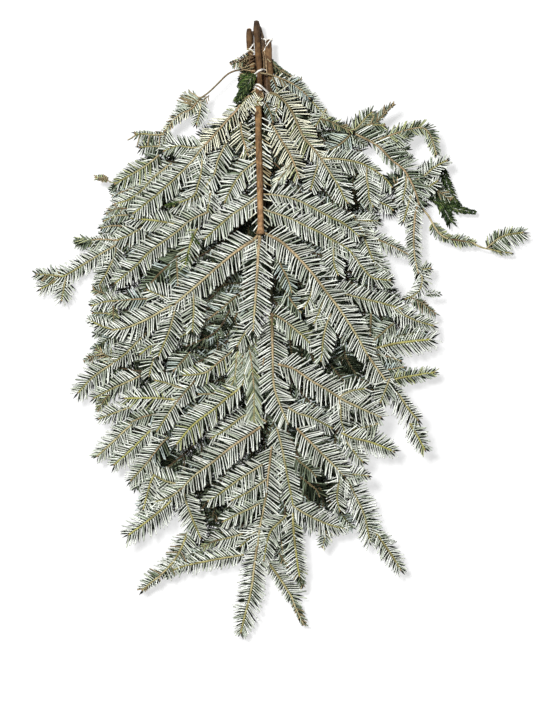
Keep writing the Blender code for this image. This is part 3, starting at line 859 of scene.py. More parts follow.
# One dictionary for each piece: the solids that it covers and its shoots. The hidden boughs have
# limbs instead, each with its kind, its share of the heap's height and the points of its route.
frontLeader = {"covers": ["front_leader"], "shoots": [
    limb(1, (-29.5, 158), (-31, 140), (-33, 120), (-34, 99), (-36, 70), (-38, 40), (-40, 12), (-41, -3),
        bare=16, wood=(2.9, 1.4)),
    twig(-4, (-41, 6), (-50, -3), (-58, -14), (-66, -28)),
]}
buildSpray("frontLeader", frontLeader)

frontForkLeft = {"covers": [
    "front_fork_left", "front_fork_left_outer", "front_fork_left_inner",
], "shoots": [
    limb(1, (-29.5, 154), (-38, 142), (-60, 127), (-80, 112), (-110, 86), (-140, 60), (-164, 40), bare=13,
        wood=(2.6, 1.5)),
    limb(0, (-164, 40), (-179, 32), (-213, 13), (-245, 0), (-266, -3), age=(0.7, 0.8), reach=27),
    twig(0, (-262, -3), (-278, 1), (-292, 7), (-305, 13), reach=15, age=(0.8, 1.0)),
    twig(-1, (-164, 40), (-168, 21), (-175, -4), (-181, -19), (-192, -44)),
    twig(-1, (-164, 40), (-180, 48), (-191, 52), (-209, 60)),
    twig(-3, (-137, 58), (-136, 34), (-137, 10), (-138, -4)),
]}
buildSpray("frontForkLeft", frontForkLeft)

frontForkRight = {"covers": ["front_fork_right", "front_fork_right_tip"], "shoots": [
    limb(1, (-29.5, 154), (-20, 149), (3, 137), (28, 114), (55, 84), (77, 55), (99, 26), (121, -8),
        (141, -43), bare=12, wood=(2.6, 1.5)),
    limb(0, (141, -43), (160, -70), (176, -90), (194, -110), (207, -129), (221, -146), reach=30,
        sizes={1: 0.42, -1: 1.0}, age=(0.6, 0.9), tipRun=4),
    young(-1, (209, -152), (217, -165), (225, -179), (233, -194), reach=20, tipSize=0.6, wood=(1.5, 1.2)),
    dim(-9, (-4, 116), (4, 98), (14, 78), (20, 58), reach=20, silver=4, blue=4, deep=2),
    dim(-12, (10, 60), (22, 40), (36, 24), reach=20, silver=3, blue=4, deep=3),
    twig(-4, (72, 50), (67, 34), (62, 20), (56, 8)),
    twig(-3, (83, 23), (76, 6), (71, -15), (69, -34), (67, -52)),
    twig(-4, (57, 76), (53, 60), (47, 44), (40, 32)),
]}
buildSpray("frontForkRight", frontForkRight)

frontSideRight = {"covers": ["front_side_right_upper", "front_side_right_lower"], "shoots": [
    twig(1, (-27, 213), (-5, 211), (20, 206), (42, 197), (61, 187), (81, 176), (103, 166), (126, 147),
        bare=8),
    twig(0, (-26, 188), (-12, 184), (20, 173), (40, 163), (62, 153), (85, 140), (105, 129), (118, 117),
        bare=8),
    twig(0, (118, 117), (130, 100), (140, 88), (151, 79), (176, 76)),
    twig(-3, (86, 139), (87, 118), (88, 100), (94, 85)),
    twig(-2, (81, 174), (86, 158), (92, 142)),
]}
buildSpray("frontSideRight", frontSideRight)

frontSideLeft = {"covers": ["front_side_left_upper", "front_side_left_lower"], "shoots": [
    twig(0, (-35, 267), (-48, 257), (-60, 246), (-70, 232), (-78, 218), (-86, 201), bare=6),
    twig(0, (-34, 209), (-46, 200), (-60, 190), (-80, 176), (-100, 158), (-118, 142), bare=6),
    green(3, (-140, 152), (-136, 143), (-131, 134), over="front_side_left_lower", reach=12, angle=36,
        roll=125, pitch=3.6, between=0.3, wood=None, lime=3, silver=3),
    green(3, (-147, 124), (-143, 114), (-147, 105), over="front_side_left_lower", reach=12, angle=36,
        roll=125, pitch=3.6, between=0.3, wood=None, lime=3, silver=3),
]}
buildSpray("frontSideLeft", frontSideLeft)

frontLimbLeft = {"covers": ["front_limb_left", "front_limb_left_end"], "shoots": [
    cream(1, (-33, 385), (-42, 377), (-51, 368), (-60, 361), (-66, 350), (-80, 335), bare=22,
        wood=(2.6, 1.6), sides=(1,), tipRun=4),
    tuft(1, (-64, 353), (-72, 344), (-80, 335), sides=(-1,), reach=15, angle=60, tipRun=4),
    cream(1, (-79, 336), (-100, 312), (-120, 290), wood=(1.6, 1.2)),
    tuft(1.5, (-34, 376), (-33, 364), (-32.5, 349), over="front_stem", sides=(1,), offset=-6.5, reach=17,
        angle=70, pitch=2.5),
    tuft(2.5, (-30, 378), (-30, 366), (-30, 356), over="front_stem", sides=(-1,), offset=-5, reach=12,
        angle=56, pitch=4.0),
    tuft(0, (-38, 380), (-46, 372), (-56, 364), (-64, 354), level=1.06, sides=(1,), reach=21, angle=82,
        pitch=3.2),
    tuft(0, (-50, 368), (-60, 359), (-66, 350), level=1.1, sides=(1,), reach=29, angle=98, pitch=4.0),
    tuft(0, (-44, 360), (-38, 361), (-29, 361), level=1.02, reach=10, angle=50, lime=3, cream=4),
    twig(1, (-120, 290), (-140, 288), (-158, 291), (-170, 289), (-183, 283), reach=21),
    twig(0, (-120, 290), (-130, 278), (-140, 265), (-165, 240), (-180, 226), (-200, 209), (-232, 184)),
    twig(-4, (-122, 280), (-125, 245), (-130, 228), (-136, 211), (-158, 201)),
    cream(-4, (-62, 330), (-58, 305), (-50, 278)),
    onStem(0, (-32, 345), (-31.5, 290), (-30.5, 220), (-29.5, 158), over="front_stem", sides=(-1,)),
]}
buildSpray("frontLimbLeft", frontLimbLeft)

frontLimbRight = {"covers": [
    "front_limb_right", "front_limb_right_end", "front_limb_right_side",
], "shoots": [
    cream(1, (-15.5, 376.5), (-12, 376), (-4, 373), (8, 362), (20, 347), (30, 325), (40, 303), (55, 286),
        (68, 268), bare=3, wood=(2.6, 1.3), age=(0.3, 0.36)),
    tuft(0, (-20, 378), (-12, 375), (-2, 370), (6, 362), level=1.04, sides=(-1,), reach=20, angle=96,
        pitch=3.0),
    dim(0, (-24, 362), (-18, 354), (-13, 342), (-10, 330), level=1.0, reach=11, age=(0.2, 0.3), deep=5,
        blue=2, frost=1),
    dim(0, (-2, 358), (-4, 348), (-8, 338), level=0.94, reach=14, frost=3, cream=3),
    twig(1, (68, 268), (83, 245), (97, 222), (103, 208), (109, 200)),
    cream(-5, (-14, 332), (-2, 310), (10, 290), (22, 267), (32, 240)),
    onStem(0, (-32, 345), (-31.5, 290), (-30.5, 220), (-29.5, 158), over="front_stem", sides=(1,)),
    onStem(0, (-31.5, 306), (-31, 270), (-30.5, 228), over="front_stem", sides=(1,), pitch=6.5, reach=21,
        cream=6, straw=2),
    fuzzy(-5, (20, 263), (12, 252), (4, 241), (-3, 232), reach=20, angle=26, age=(0.3, 0.4), silver=4,
        frost=3, cream=2),
    bare(-6, (-8, 264), (0, 256), (7, 248), age=(0.1, 0.2)),
    twig(-3, (64, 262), (57, 245), (51, 222)),
    twig(0, (68, 270), (100, 269), (130, 263), (152, 252), sizes={1: 0.85, -1: 1.0}),
    twig(0, (148, 255), (160, 247), (172, 236), (180, 226), sides=(-1,), age=(0.8, 0.95)),
    twig(-4, (140, 258), (140, 240), (143, 222), (144, 208), (150, 195)),
]}
buildSpray("frontLimbRight", frontLimbRight)

leftTop = {"covers": ["left_collar", "left_shoulder"], "shoots": [
    green(0, (-39, 409), (-45, 399), (-52, 389), (-58, 378), (-66, 366), reach=13, angle=42, level=0.92,
        wood=None, silver=5, lime=3, shade=3),
    green(0, (-50, 404), (-56, 394), (-58, 382), (-64, 370), reach=11, angle=36, level=0.74, wood=None),
    green(0, (-42, 396), (-47, 386), (-54, 376), (-62, 367), reach=10, angle=36, level=0.7, wood=None,
        silver=1, shade=5),
    bare(0, (-60, 416), (-73, 413), (-84, 407), (-100, 391), (-114, 378), (-126, 370), age=(0.2, 0.28),
        wood=(1.5, 1.3)),
    sparse(0, (-40, 438), (-50, 436), (-63, 430), (-77, 425), level=0.84, age=(0.1, 0.16), reach=7, lime=1,
        straw=5, shade=3),
    olive(0, (-40, 430), (-52, 428), (-64, 424), level=0.7, reach=9, straw=4, shade=4, lime=1),
    olive(0, (-42, 418), (-54, 411), (-62, 400), level=0.62, reach=9, straw=3, shade=4, lime=1),
    olive(0, (-44, 444), (-50, 434), (-60, 421), level=0.52, reach=8, straw=3, shade=4, lime=1),
    olive(0, (-40, 436), (-52, 424), (-58, 408), level=0.45, reach=10, angle=40, straw=2, deep=4, shade=5),
    olive(0, (-40, 424), (-50, 412), (-56, 400), level=0.5, reach=10, angle=40, lime=1, deep=3, shade=6),
    bare(0, (-40, 418), (-50, 416), (-62, 412), level=0.92, age=(0.3, 0.46)),
    bare(0, (-41, 434), (-52, 431), (-62, 426), level=0.94, age=(0.1, 0.32)),
    bare(0, (-39, 424), (-48, 420), (-57, 417), (-66, 420), level=1.04, age=(0.62, 0.66)),
    bare(0, (-38, 412), (-50, 413), (-60, 416), (-64, 424), level=0.98, age=(0.48, 0.6)),
    bare(0, (-40, 431), (-50, 424), (-60, 422), level=0.9, age=(0.05, 0.1)),
    tuft(0, (-58, 428), (-66, 427), (-73, 424), level=0.9, reach=13, sides=(1,), angle=84, pitch=2.2,
        straw=5, deep=2),
    green(0, (-52, 386), (-62, 374), (-70, 364), level=0.66, reach=9, angle=40, wood=None),
    green(0, (-44, 412), (-56, 404), (-64, 388), level=0.58, reach=9, angle=40, wood=None, silver=3,
        shade=4, straw=1),
    bare(0, (-52, 448.5), (-46, 446), (-41, 443), level=0.9, age=(0.66, 0.68)),
    # painted shade: near-black wood that fills the shaded gap between the stems
    bare(0, (-50, 446), (-45, 443), (-40, 441), level=0.86, age=(0.02, 0.05)),
    bare(0, (-42.4, 478), (-42.4, 462), (-41.6, 444), level=0.74, age=(0.0, 0.02), wood=(2.0, 2.0)),
    tuft(0, (-124, 369), (-136, 362), (-150, 352), reach=26, sides=(-1,), angle=62, pitch=2.4, between=1.0,
        silver=4, straw=5),
    tuft(-1, (-130, 366), (-140, 366), (-152, 362), reach=20, sides=(-1,), angle=76, pitch=2.6, silver=3,
        straw=4, deep=2),
    sparse(0, (-112, 374), (-122, 366), (-130, 356), reach=9, straw=3, silver=2),
    twig(0, (-128, 369), (-140, 352), (-156, 345), (-168, 335), (-182, 318), reach=13, silver=4, cream=3,
        straw=1, age=(0.4, 0.86)),
    olive(-2, (-124, 370), (-134, 362), (-148, 352), reach=13, wood=None),
    twig(-2, (-126, 367), (-127, 348), (-132, 328), reach=17),
    twig(0, (-184, 311), (-200, 310), (-215, 312), (-230, 312), reach=19, sizes={1: 1.0, -1: 0.3}, angle=84,
        tipRun=6, tipSize=0.8, silver=5, straw=4, deep=1),
    twig(-2, (-190, 292), (-205, 292), (-222, 291), reach=17, sizes={1: 1.0, -1: 0.7}, angle=80, tipRun=8,
        tipSize=0.7, silver=6, lime=1, deep=1),
    twig(-1, (-176, 322), (-181, 312), (-185, 300), (-190, 286), reach=16, wood=None),
]}
buildSpray("leftTop", leftTop)

leftOuter = {"covers": ["left_outer", "left_inner"], "shoots": [
    twig(0, (-192, 278), (-206, 266), (-222, 255), (-240, 245), (-262, 232), sizes={1: 1.0, -1: 0.8},
        frost=3, silver=5, lime=1, deep=1),
    bare(0, (-258, 231), (-268, 234), (-277, 238), age=(0.3, 0.4)),
    sparse(0, (-274, 237), (-283, 241), (-294, 242), reach=6, pitch=2.6, between=1.0, angle=80, tipSize=0.9,
        straw=3, lime=2),
    dim(-3, (-232, 226), (-250, 220), (-266, 213), reach=15),
    dim(-4, (-240, 238), (-258, 228), (-270, 222), reach=13, wood=None),
    olive(0, (-244, 192), (-260, 192), (-276, 185), reach=12),
    dim(-1, (-240, 182), (-262, 180), (-280, 173), reach=14, age=(0.6, 0.95)),
    green(0, (-196, 206), (-208, 202), (-224, 192), reach=10, angle=40, roll=120, lime=3, silver=2),
    green(0, (-152, 206), (-164, 200), (-180, 196), reach=9, angle=44, roll=120, lime=3, silver=2,
        wood=None),
    twig(-1, (-172, 265), (-185, 255), (-203, 240), (-220, 222), (-240, 207), (-262, 200)),
    twig(0, (-83, 300), (-98, 268), (-103, 247), (-110, 238), (-128, 211), (-150, 199), (-168, 195)),
    twig(-3, (-109, 220), (-112, 200), (-117, 178)),
]}
buildSpray("leftOuter", leftOuter)

leftLong = {"covers": ["left_long", "left_middle"], "shoots": [
    twig(1, (-112, 186), (-130, 178), (-145, 170), (-160, 157), (-180, 142), (-200, 128), (-215, 115),
        (-230, 99), (-262, 73)),
    young(-2, (-165, 166), (-190, 171), (-215, 174), (-237, 176)),
    dim(0, (-208, 47), (-235, 46), (-258, 44), reach=22, age=(0.4, 0.6)),
    twig(0, (-252, 44), (-276, 43), (-300, 36), reach=18, age=(0.8, 0.95)),
    olive(-1, (-268, 48), (-282, 56), (-297, 62), reach=15),
    olive(-2, (-266, 36), (-266, 20), (-264, 6), reach=11, silver=3, lime=3, deep=2),
    dim(-2, (-262, 22), (-280, 24), (-298, 24), reach=15, age=(0.7, 0.9)),
    dim(-2, (-264, -4), (-282, -6), (-296, -10), reach=14, wood=None),
    dim(-3, (-268, -24), (-284, -28), (-298, -34), reach=13, wood=None),
    dim(-3, (-268, 8), (-286, 14), (-302, 20), reach=11, wood=None),
    dim(-2, (-66, 54), (-78, 43), (-91, 32), (-106, 20), (-126, 4), age=(0.2, 0.7), silver=6, frost=4,
        blue=2),
    young(-4, (-126, 4), (-140, -4), (-160, -15)),
    dim(-3, (-66, 26), (-74, 8), (-83, -12), age=(0.1, 0.3), silver=6, frost=4, blue=2),
    young(-3, (-130, 160), (-140, 140), (-146, 118), (-150, 100)),
    dim(-4, (-164, 112), (-163, 92), (-162, 70)),
    dim(-5, (-150, 130), (-170, 108), (-195, 84), (-215, 60), age=(0.1, 0.2), deep=5, shade=2, blue=2),
]}
buildSpray("leftLong", leftLong)

leftFar = {"covers": ["left_far"], "shoots": [
    twig(0, (-215, 166), (-240, 150), (-264, 141)),
    twig(0, (-258, 141), (-278, 143), (-294, 143), (-310, 140), reach=20, sizes={1: 1.0, -1: 0.45},
        age=(0.5, 0.66)),
    olive(1, (-300, 142), (-312, 143), (-324, 144), reach=18, angle=40, wood=None, roll=60, lime=3, deep=5,
        silver=2),
    olive(0, (-300, 140), (-312, 138), (-324, 136), reach=16, wood=None, lime=2, deep=4, silver=2),
    dim(-2, (-266, 136), (-284, 134), (-302, 132), reach=14, wood=None),
    dim(-2, (-244, 163), (-266, 165), (-285, 161), reach=14, age=(0.3, 0.9)),
    dim(-3, (-262, 150), (-276, 153), (-288, 152), reach=11, wood=None),
    twig(1, (-262, 134), (-293, 116), (-321, 99), (-342, 86), (-352, 83), reach=21, tipRun=14, tipSize=0.7),
    twig(1, (-346, 83), (-370, 86), (-389, 87), reach=17, silver=5, straw=2, deep=1, age=(0.8, 0.95),
        tipSize=0.7),
    twig(0, (-346, 82), (-365, 73), (-383, 64), reach=20, age=(0.8, 1.0), tipSize=0.65),
    twig(-1, (-343, 82), (-346, 68), (-348, 56), (-350, 46), reach=20, tipSize=0.65),
    dim(-3, (-338, 84), (-356, 80), (-372, 78), reach=16, wood=None),
    twig(-1, (-262, 130), (-266, 114), (-277, 90), (-290, 68)),
    dim(-3, (-268, 112), (-280, 98), (-292, 84), reach=12, wood=None),
]}
buildSpray("leftFar", leftFar)

rightTop = {"covers": ["right_collar"], "shoots": [
    dim(0, (-30, 408.6), (-17, 406.6), (1, 400.7), (20, 392), (36, 381), (48, 368), level=0.97,
        age=(0.34, 0.46), wood=(1.5, 1.0), reach=15, bare=46, blue=3, silver=4, frost=2),
    tuft(0, (-12, 405), (-2, 402), (10, 396), level=0.93, sides=(-1,), reach=15, angle=52, straw=3,
        silver=3, frost=2),
    tuft(0, (-8, 404), (0, 401), (8, 397), level=0.93, sides=(1,), reach=10, angle=70, pitch=6.0, frost=2,
        straw=2),
    twig(0, (-6, 398), (12, 394), (26, 396), (34, 400), level=0.72, reach=13),
    dim(0, (-8, 402), (-6, 392), (-2, 380), level=0.86, reach=10, age=(0.12, 0.2)),
    olive(0, (-17, 434), (-9, 425), (0, 416), (18, 405), level=0.8, reach=8, angle=34, deep=4, lime=1,
        shade=5, straw=1),
    olive(0, (-16, 424), (-4, 412), (8, 402), (22, 396), level=0.66, reach=9, angle=36, deep=3, shade=5,
        lime=1),
    olive(0, (-10, 420), (2, 410), (14, 403), level=0.74, reach=8, angle=40, deep=3, lime=1, shade=5),
    bare(0, (-27.5, 449), (-25, 438), (-24, 424), (-24.5, 410), level=0.8, age=(0.16, 0.22),
        wood=(1.6, 1.3)),
    bare(0, (-24, 446), (-21, 434), (-20.5, 421), (-19, 408), level=0.8, age=(0.46, 0.52), wood=(1.2, 0.9)),
    bare(0, (-20, 440), (-18, 428), (-16.5, 414), level=0.82, age=(0.14, 0.3), wood=(1.3, 1.0)),
    # painted shade: thick near-black rods that fill the dark gaps beside and under the stems
    bare(0, (-22, 446), (-19.5, 425), (-19, 400), (-18, 370), level=0.6, age=(0.1, 0.02), wood=(3.0, 3.0)),
    bare(0, (-28, 440), (-27, 380), (-27.5, 300), (-26, 230), (-25, 160), level=0.5, age=(0.0, 0.02),
        wood=(3.6, 3.0)),
    bare(0, (-36, 375), (-33, 372), (-29, 366), level=1.03, age=(0.14, 0.4), wood=(1.6, 0.9)),
    bare(0, (-33, 377), (-29, 372), (-24, 370), level=1.05, age=(0.1, 0.5), wood=(1.5, 0.9)),
    bare(0, (-27, 376), (-25, 370), (-27, 364), level=1.03, age=(0.46, 0.5), wood=(1.2, 0.8)),
    # painted shade: a thick near-black rod under the front stem
    bare(0, (-36, 392), (-37, 404), (-38, 420), (-39, 440), level=0.6, age=(0.0, 0.06), wood=(2.6, 2.6)),
    bare(0, (-19, 431), (-16, 429), (-13.5, 426.5), level=1.02, age=(0.68, 0.7)),
    twig(-2, (34, 382), (48, 368), (62, 353), (73, 342), reach=15),
    twig(-2, (76, 351), (68, 338), (60, 325), reach=20),
    olive(0, (66, 335), (84, 330), (100, 322), (116, 315), reach=11, straw=3, lime=2, deep=3),
]}
buildSpray("rightTop", rightTop)

rightLimb = {"covers": ["right_limb", "right_loop", "right_inner"], "shoots": [
    twig(1, (116, 314), (128, 324), (140, 338), (149, 346), reach=21, sizes={1: 1.0, -1: 0.7}, angle=58,
        silver=5, frost=2, lime=2, deep=2),
    dim(0, (124, 318), (138, 325), (154, 326), (168, 325), reach=19, sizes={1: 0.4, -1: 1.0}, silver=4,
        deep=5, lime=1, age=(0.7, 0.9)),
    dim(-3, (128, 312), (146, 314), (166, 318), reach=16, wood=None, silver=3, deep=5),
    dim(-2, (166, 284), (184, 288), (206, 286), reach=19, angle=48, wood=None, silver=3, deep=5, frost=1),
    dim(-2, (186, 266), (200, 270), (212, 272), reach=14, wood=None, silver=3, deep=5),
    dim(0, (118, 314), (104, 299), (88, 288), (78, 284), blue=3, silver=2),
    olive(1, (132, 324), (150, 328), (163, 337), (172, 347), (183, 357), reach=14, sizes={1: 1.0, -1: 0.25},
        angle=50, age=(0.14, 0.46), straw=3, deep=4, silver=2),
    olive(-1, (138, 330), (154, 337), (168, 345), reach=12, wood=None, straw=3, deep=4, lime=1),
    dim(-1, (118, 308), (128, 300), (138, 293), reach=11, wood=None),
    limb(1, (116, 314), (145, 300), (162, 289), (180, 270), (200, 254), (212, 234), (220, 215), (224, 200),
        age=(0.36, 0.56), wood=(1.9, 1.4), sides=(1,), reach=28, frost=3, silver=4, deep=3),
    tuft(1, (150, 298), (162, 289), (180, 270), (200, 254), (212, 234), (220, 215), sides=(-1,), reach=14,
        angle=50, pitch=3.4, frost=3, silver=3, deep=3),
    olive(0, (150, 300), (170, 306), (185, 311), (204, 317), (222, 321), (233, 320), (241, 312), (246, 300),
        (252, 280), reach=16, age=(0.4, 0.7), silver=5, deep=2, lime=2),
    dim(-3, (170, 300), (190, 303), (208, 306), reach=18, wood=None, silver=4, deep=5),
    twig(-1, (216, 236), (232, 243), (245, 255), (258, 263), (268, 268), reach=20),
    twig(-1, (216, 226), (233, 226), (245, 230), (254, 236), reach=18),
    twig(-2, (205, 245), (203, 225), (198, 205)),
    twig(-3, (212, 215), (208, 200), (204, 186), (200, 172), reach=20),
    twig(0, (118, 182), (128, 164), (135, 148), (142, 130), (150, 110), (160, 91)),
    twig(-2, (122, 174), (138, 172), (156, 172), reach=20),
    twig(-2, (138, 150), (155, 143), (172, 136), (188, 128), (206, 119), reach=20, sizes={1: 0.75, -1: 1.0},
        tipSize=0.4, age=(0.5, 0.6)),
    twig(-1, (144, 210), (160, 202), (174, 196), (182, 190), reach=18),
    dim(-3, (150, 112), (160, 104), (170, 90), reach=18, wood=None),
    dim(-3, (158, 84), (166, 76), (174, 66), reach=16, wood=None),
]}
buildSpray("rightLimb", rightLimb)

rightHanging = {"covers": ["right_hanging", "right_far"], "shoots": [
    twig(1, (224, 202), (219, 185), (217, 165), (216, 140), (218, 112), (223, 90), reach=15,
        wood=(1.7, 1.2), age=(0.52, 0.72)),
    twig(0, (222, 96), (230, 94), (242, 96), reach=15),
    twig(0, (224, 96), (230, 80), (227, 64), (217, 53), (204, 47), reach=16),
    bare(2, (223, 202), (232, 190), (240, 181), (252, 160), (262, 149), (272, 144), age=(0.66, 0.72),
        wood=(1.7, 1.6)),
    sparse(1, (246, 170), (254, 157), (264, 148), (278, 143), reach=13, wood=None, pitch=3.2, between=1.0),
    sparse(0, (272, 144), (292, 141), (314, 137), age=(0.1, 0.3), wood=(1.5, 1.2), pitch=3.4, between=1.0),
    bare(1, (311, 138), (324, 131), (340, 127), (360, 123), (376, 121), age=(0.74, 0.9), wood=(1.5, 0.9)),
    sparse(0, (340, 127), (356, 124), (374, 121), wood=None, reach=10, sides=(-1,), angle=44, lime=4,
        silver=3),
    twig(1, (334, 128), (346, 139), (358, 147), (374, 152), (392, 154), reach=15, sides=(1,), silver=5,
        lime=2, deep=2, tipSize=0.8, pitch=3.4),
    tuft(1, (340, 133), (352, 143), (366, 150), (392, 154), reach=26, sides=(-1,), angle=80, pitch=3.0,
        between=1.0, tipSize=0.6, frost=5, silver=2, deep=2),
    dim(-2, (338, 128), (352, 132), (368, 136), reach=15, wood=None, deep=4, silver=3, shade=2),
]}
buildSpray("rightHanging", rightHanging)

rightTurned = {"covers": ["right_turned"], "shoots": [
    green(0, (236, 214), (252, 207), (270, 199), (290, 192), (316, 187), reach=12, angle=34, wood=None,
        tipSize=0.3),
    green(-3, (240, 226), (258, 218), (276, 204), reach=13, angle=44, wood=None, silver=2, shade=4),
    dim(2, (240, 238), (252, 226), (264, 216), (276, 208), reach=15, angle=50, straw=3, silver=4, deep=4,
        age=(0.3, 0.4)),
    green(-2, (258, 266), (266, 248), (273, 230), (280, 212), (290, 198), reach=12, angle=42, wood=None,
        silver=1, shade=4),
    green(-2, (256, 206), (268, 190), (277, 172), reach=15, angle=42, wood=None, silver=1, shade=4,
        tipSize=0.8),
    green(-5, (246, 246), (256, 228), (266, 212), reach=12, angle=50, wood=None, silver=1, shade=6),
]}
buildSpray("rightTurned", rightTurned)

rightMiddle = {"covers": ["right_middle"], "shoots": [
    twig(1, (78, 57), (99, 56), (126, 49), (160, 41), (196, 31)),
    twig(0, (180, 34), (199, 22), (222, 11), (247, 4), reach=20),
    dim(-3, (184, 8), (168, -6), (151, -21), age=(0.3, 0.34), wood=(1.5, 1.3)),
    dim(-4, (148, 26), (147, 10), (146, -10), age=(0.28, 0.34), wood=(1.7, 1.5)),
    twig(-2, (150, -34), (172, -28), (199, -23), (243, -18), frost=8, silver=2, reach=27, wood=(2.0, 1.8),
        age=(0.84, 1.0), tipSize=0.75),
    dim(-4, (186, -14), (206, -10), (228, -6), reach=20, wood=None),
    young(-3, (176, -84), (190, -81), (212, -77), (249, -71), reach=16, wood=(1.7, 1.4), age=(0.84, 1.0),
        silver=5, lime=2, deep=2, tipSize=0.6),
    dim(-3, (158, -68), (178, -66), (198, -63), reach=15),
    dim(-3, (156, -42), (176, -46), (194, -52), reach=15),
    olive(0, (210, 50), (226, 42), (240, 32), (250, 24), reach=18, sizes={1: 0.4, -1: 1.0}, silver=4,
        straw=3, deep=4),
    sparse(0, (232, 54), (246, 56), (258, 54), reach=9, wood=None, angle=44, silver=4, deep=2),
]}
buildSpray("rightMiddle", rightMiddle)

backLeader = {"covers": ["back_leader"], "shoots": [
    limb(0, (-12, 18), (-11, -6), (-10, -43), (-8, -92), (3, -126), (14, -152), wood=(2.2, 1.2)),
    young(1, (-20, 20), (-4, 19), (16, 6), (38, -13), (57, -32), age=(0.4, 1.0)),
    fuzzy(0, (-52, -3), (-46, -40), (-41, -84), (-40, -120), (-40, -170)),
    fuzzy(-1, (-30, 2), (-40, -30), (-52, -60), (-58, -90)),
    fuzzy(-1, (-60, 4), (-67, -35), (-70, -75), (-78, -96)),
    fuzzy(-2, (-46, 8), (-56, -30), (-60, -62), age=(0.2, 0.5)),
    bare(0, (-24, -48), (-25, -54), (-26, -60), age=(0.46, 0.5)),
    twig(-2, (-20, -150), (-40, -140), (-57, -141), (-86, -163), (-108, -176)),
    green(2, (-6, 24), (-8, 14), (-12, 4), reach=8, age=(0.1, 0.4), lime=2, silver=3, deep=2),
    bare(2, (-11, 24), (-11, 2), (-9, -14), wood=(2.4, 2.1), age=(0.2, 0.3)),
]}
buildSpray("backLeader", backLeader)

backSideRight = {"covers": ["back_side_right", "back_side_right_low"], "shoots": [
    limb(1, (-2, -58), (23, -65), (48, -82), (77, -99), (101, -114), (126, -126), (161, -142)),
    twig(-1, (95, -112), (98, -128), (99, -146), (106, -168)),
    twig(-2, (14, -126), (28, -135), (52, -143), (84, -160)),
    twig(0, (96, -110), (106, -104), (120, -99), (137, -97)),
    twig(-2, (160, -152), (140, -158), (119, -163)),
    twig(1, (100, -168), (118, -176), (147, -183), (183, -197), frost=8, silver=2, wood=(1.6, 1.3),
        age=(0.84, 1.0)),
    twig(-1, (105, -178), (114, -190), (124, -203), (133, -213)),
    twig(-2, (176, -80), (170, -98), (162, -118)),
]}
buildSpray("backSideRight", backSideRight)

backSideLeft = {"covers": [
    "back_side_left_middle", "back_side_left_outer", "back_side_left_low",
], "shoots": [
    twig(0, (-210, -6), (-221, -16), (-245, -40), (-266, -56)),
    olive(0, (-262, -54), (-276, -45), (-293, -35), reach=15),
    dim(-2, (-258, -4), (-272, -16), (-286, -26), reach=16, wood=None),
    olive(-1, (-284, -40), (-298, -45), (-312, -52), reach=10, straw=2, silver=4),
    twig(-2, (-192, -34), (-199, -46), (-204, -60), (-208, -76), reach=24, age=(0.7, 0.95)),
    young(-1, (-196, -26), (-208, -30), (-222, -42), reach=15),
    olive(1, (-182, -36), (-192, -42), (-200, -48), reach=10, lime=6, silver=2),
    dim(-2, (-220, -12), (-226, -24), (-230, -40), reach=18, wood=None),
    twig(0, (-266, -56), (-299, -79), (-322, -103), reach=26, tipSize=0.6),
    twig(-1, (-222, -76), (-233, -82), (-265, -96), (-296, -112)),
    dim(-1, (-142, -38), (-152, -50), (-168, -68), age=(0.2, 0.5)),
    young(1, (-76, -38), (-88, -48), (-101, -59), (-115, -70), (-130, -74), (-152, -76), age=(0.3, 1.0)),
    twig(-1, (-155, -96), (-164, -94), (-179, -88), (-197, -84)),
    twig(0, (-134, -84), (-143, -94), (-162, -116), age=(0.2, 0.5)),
    young(0, (-166, -115), (-184, -113), (-210, -112), (-246, -113), wood=(1.8, 1.4), reach=25),
    twig(-1, (-162, -114), (-167, -123), (-181, -143), (-195, -164)),
    dim(-2, (-88, -100), (-103, -105), (-127, -106)),
]}
buildSpray("backSideLeft", backSideLeft)

backDropLeft = {"covers": ["back_drop_left", "back_drop_left_outer"], "shoots": [
    young(1, (-62, -96), (-83, -112), (-106, -131), (-137, -155), (-163, -185), reach=26, wood=(1.6, 1.3)),
    twig(-1, (-236, -155), (-247, -164), (-268, -184), (-291, -205), reach=22, age=(0.7, 0.8), pitch=3.4,
        tipSize=0.6, wood=(1.5, 1.1)),
    twig(-2, (-196, -158), (-208, -166), (-236, -194), (-264, -219), reach=24, wood=(1.7, 1.2),
        age=(0.9, 1.0), tipSize=0.6, pitch=3.6),
    twig(-2, (-236, -126), (-255, -133), (-288, -145), reach=20),
    olive(-1, (-272, -106), (-282, -118), (-290, -132), reach=12, lime=3, silver=4, deep=2),
    dim(-2, (-196, -138), (-216, -142), (-240, -152), reach=18),
    twig(0, (-176, -174), (-189, -187), (-213, -218), (-236, -243), sides=(-1,), age=(0.3, 0.9)),
    # painted shade: this side's needles take dark tones, as they lie in shade
    twig(-1, (-180, -176), (-190, -188), (-204, -206), sides=(1,), wood=None, deep=3, shade=2, blue=1),
    twig(-1, (-202, -206), (-214, -219), (-236, -243), sides=(1,), wood=None, tipSize=0.6),
    dim(-4, (-196, -200), (-212, -226), (-220, -250), reach=20, wood=None),
    dim(-4, (-214, -222), (-224, -240), (-230, -256), reach=18, wood=None),
    dim(-5, (-230, -176), (-252, -198), (-268, -210), reach=18, wood=None),
]}
buildSpray("backDropLeft", backDropLeft)

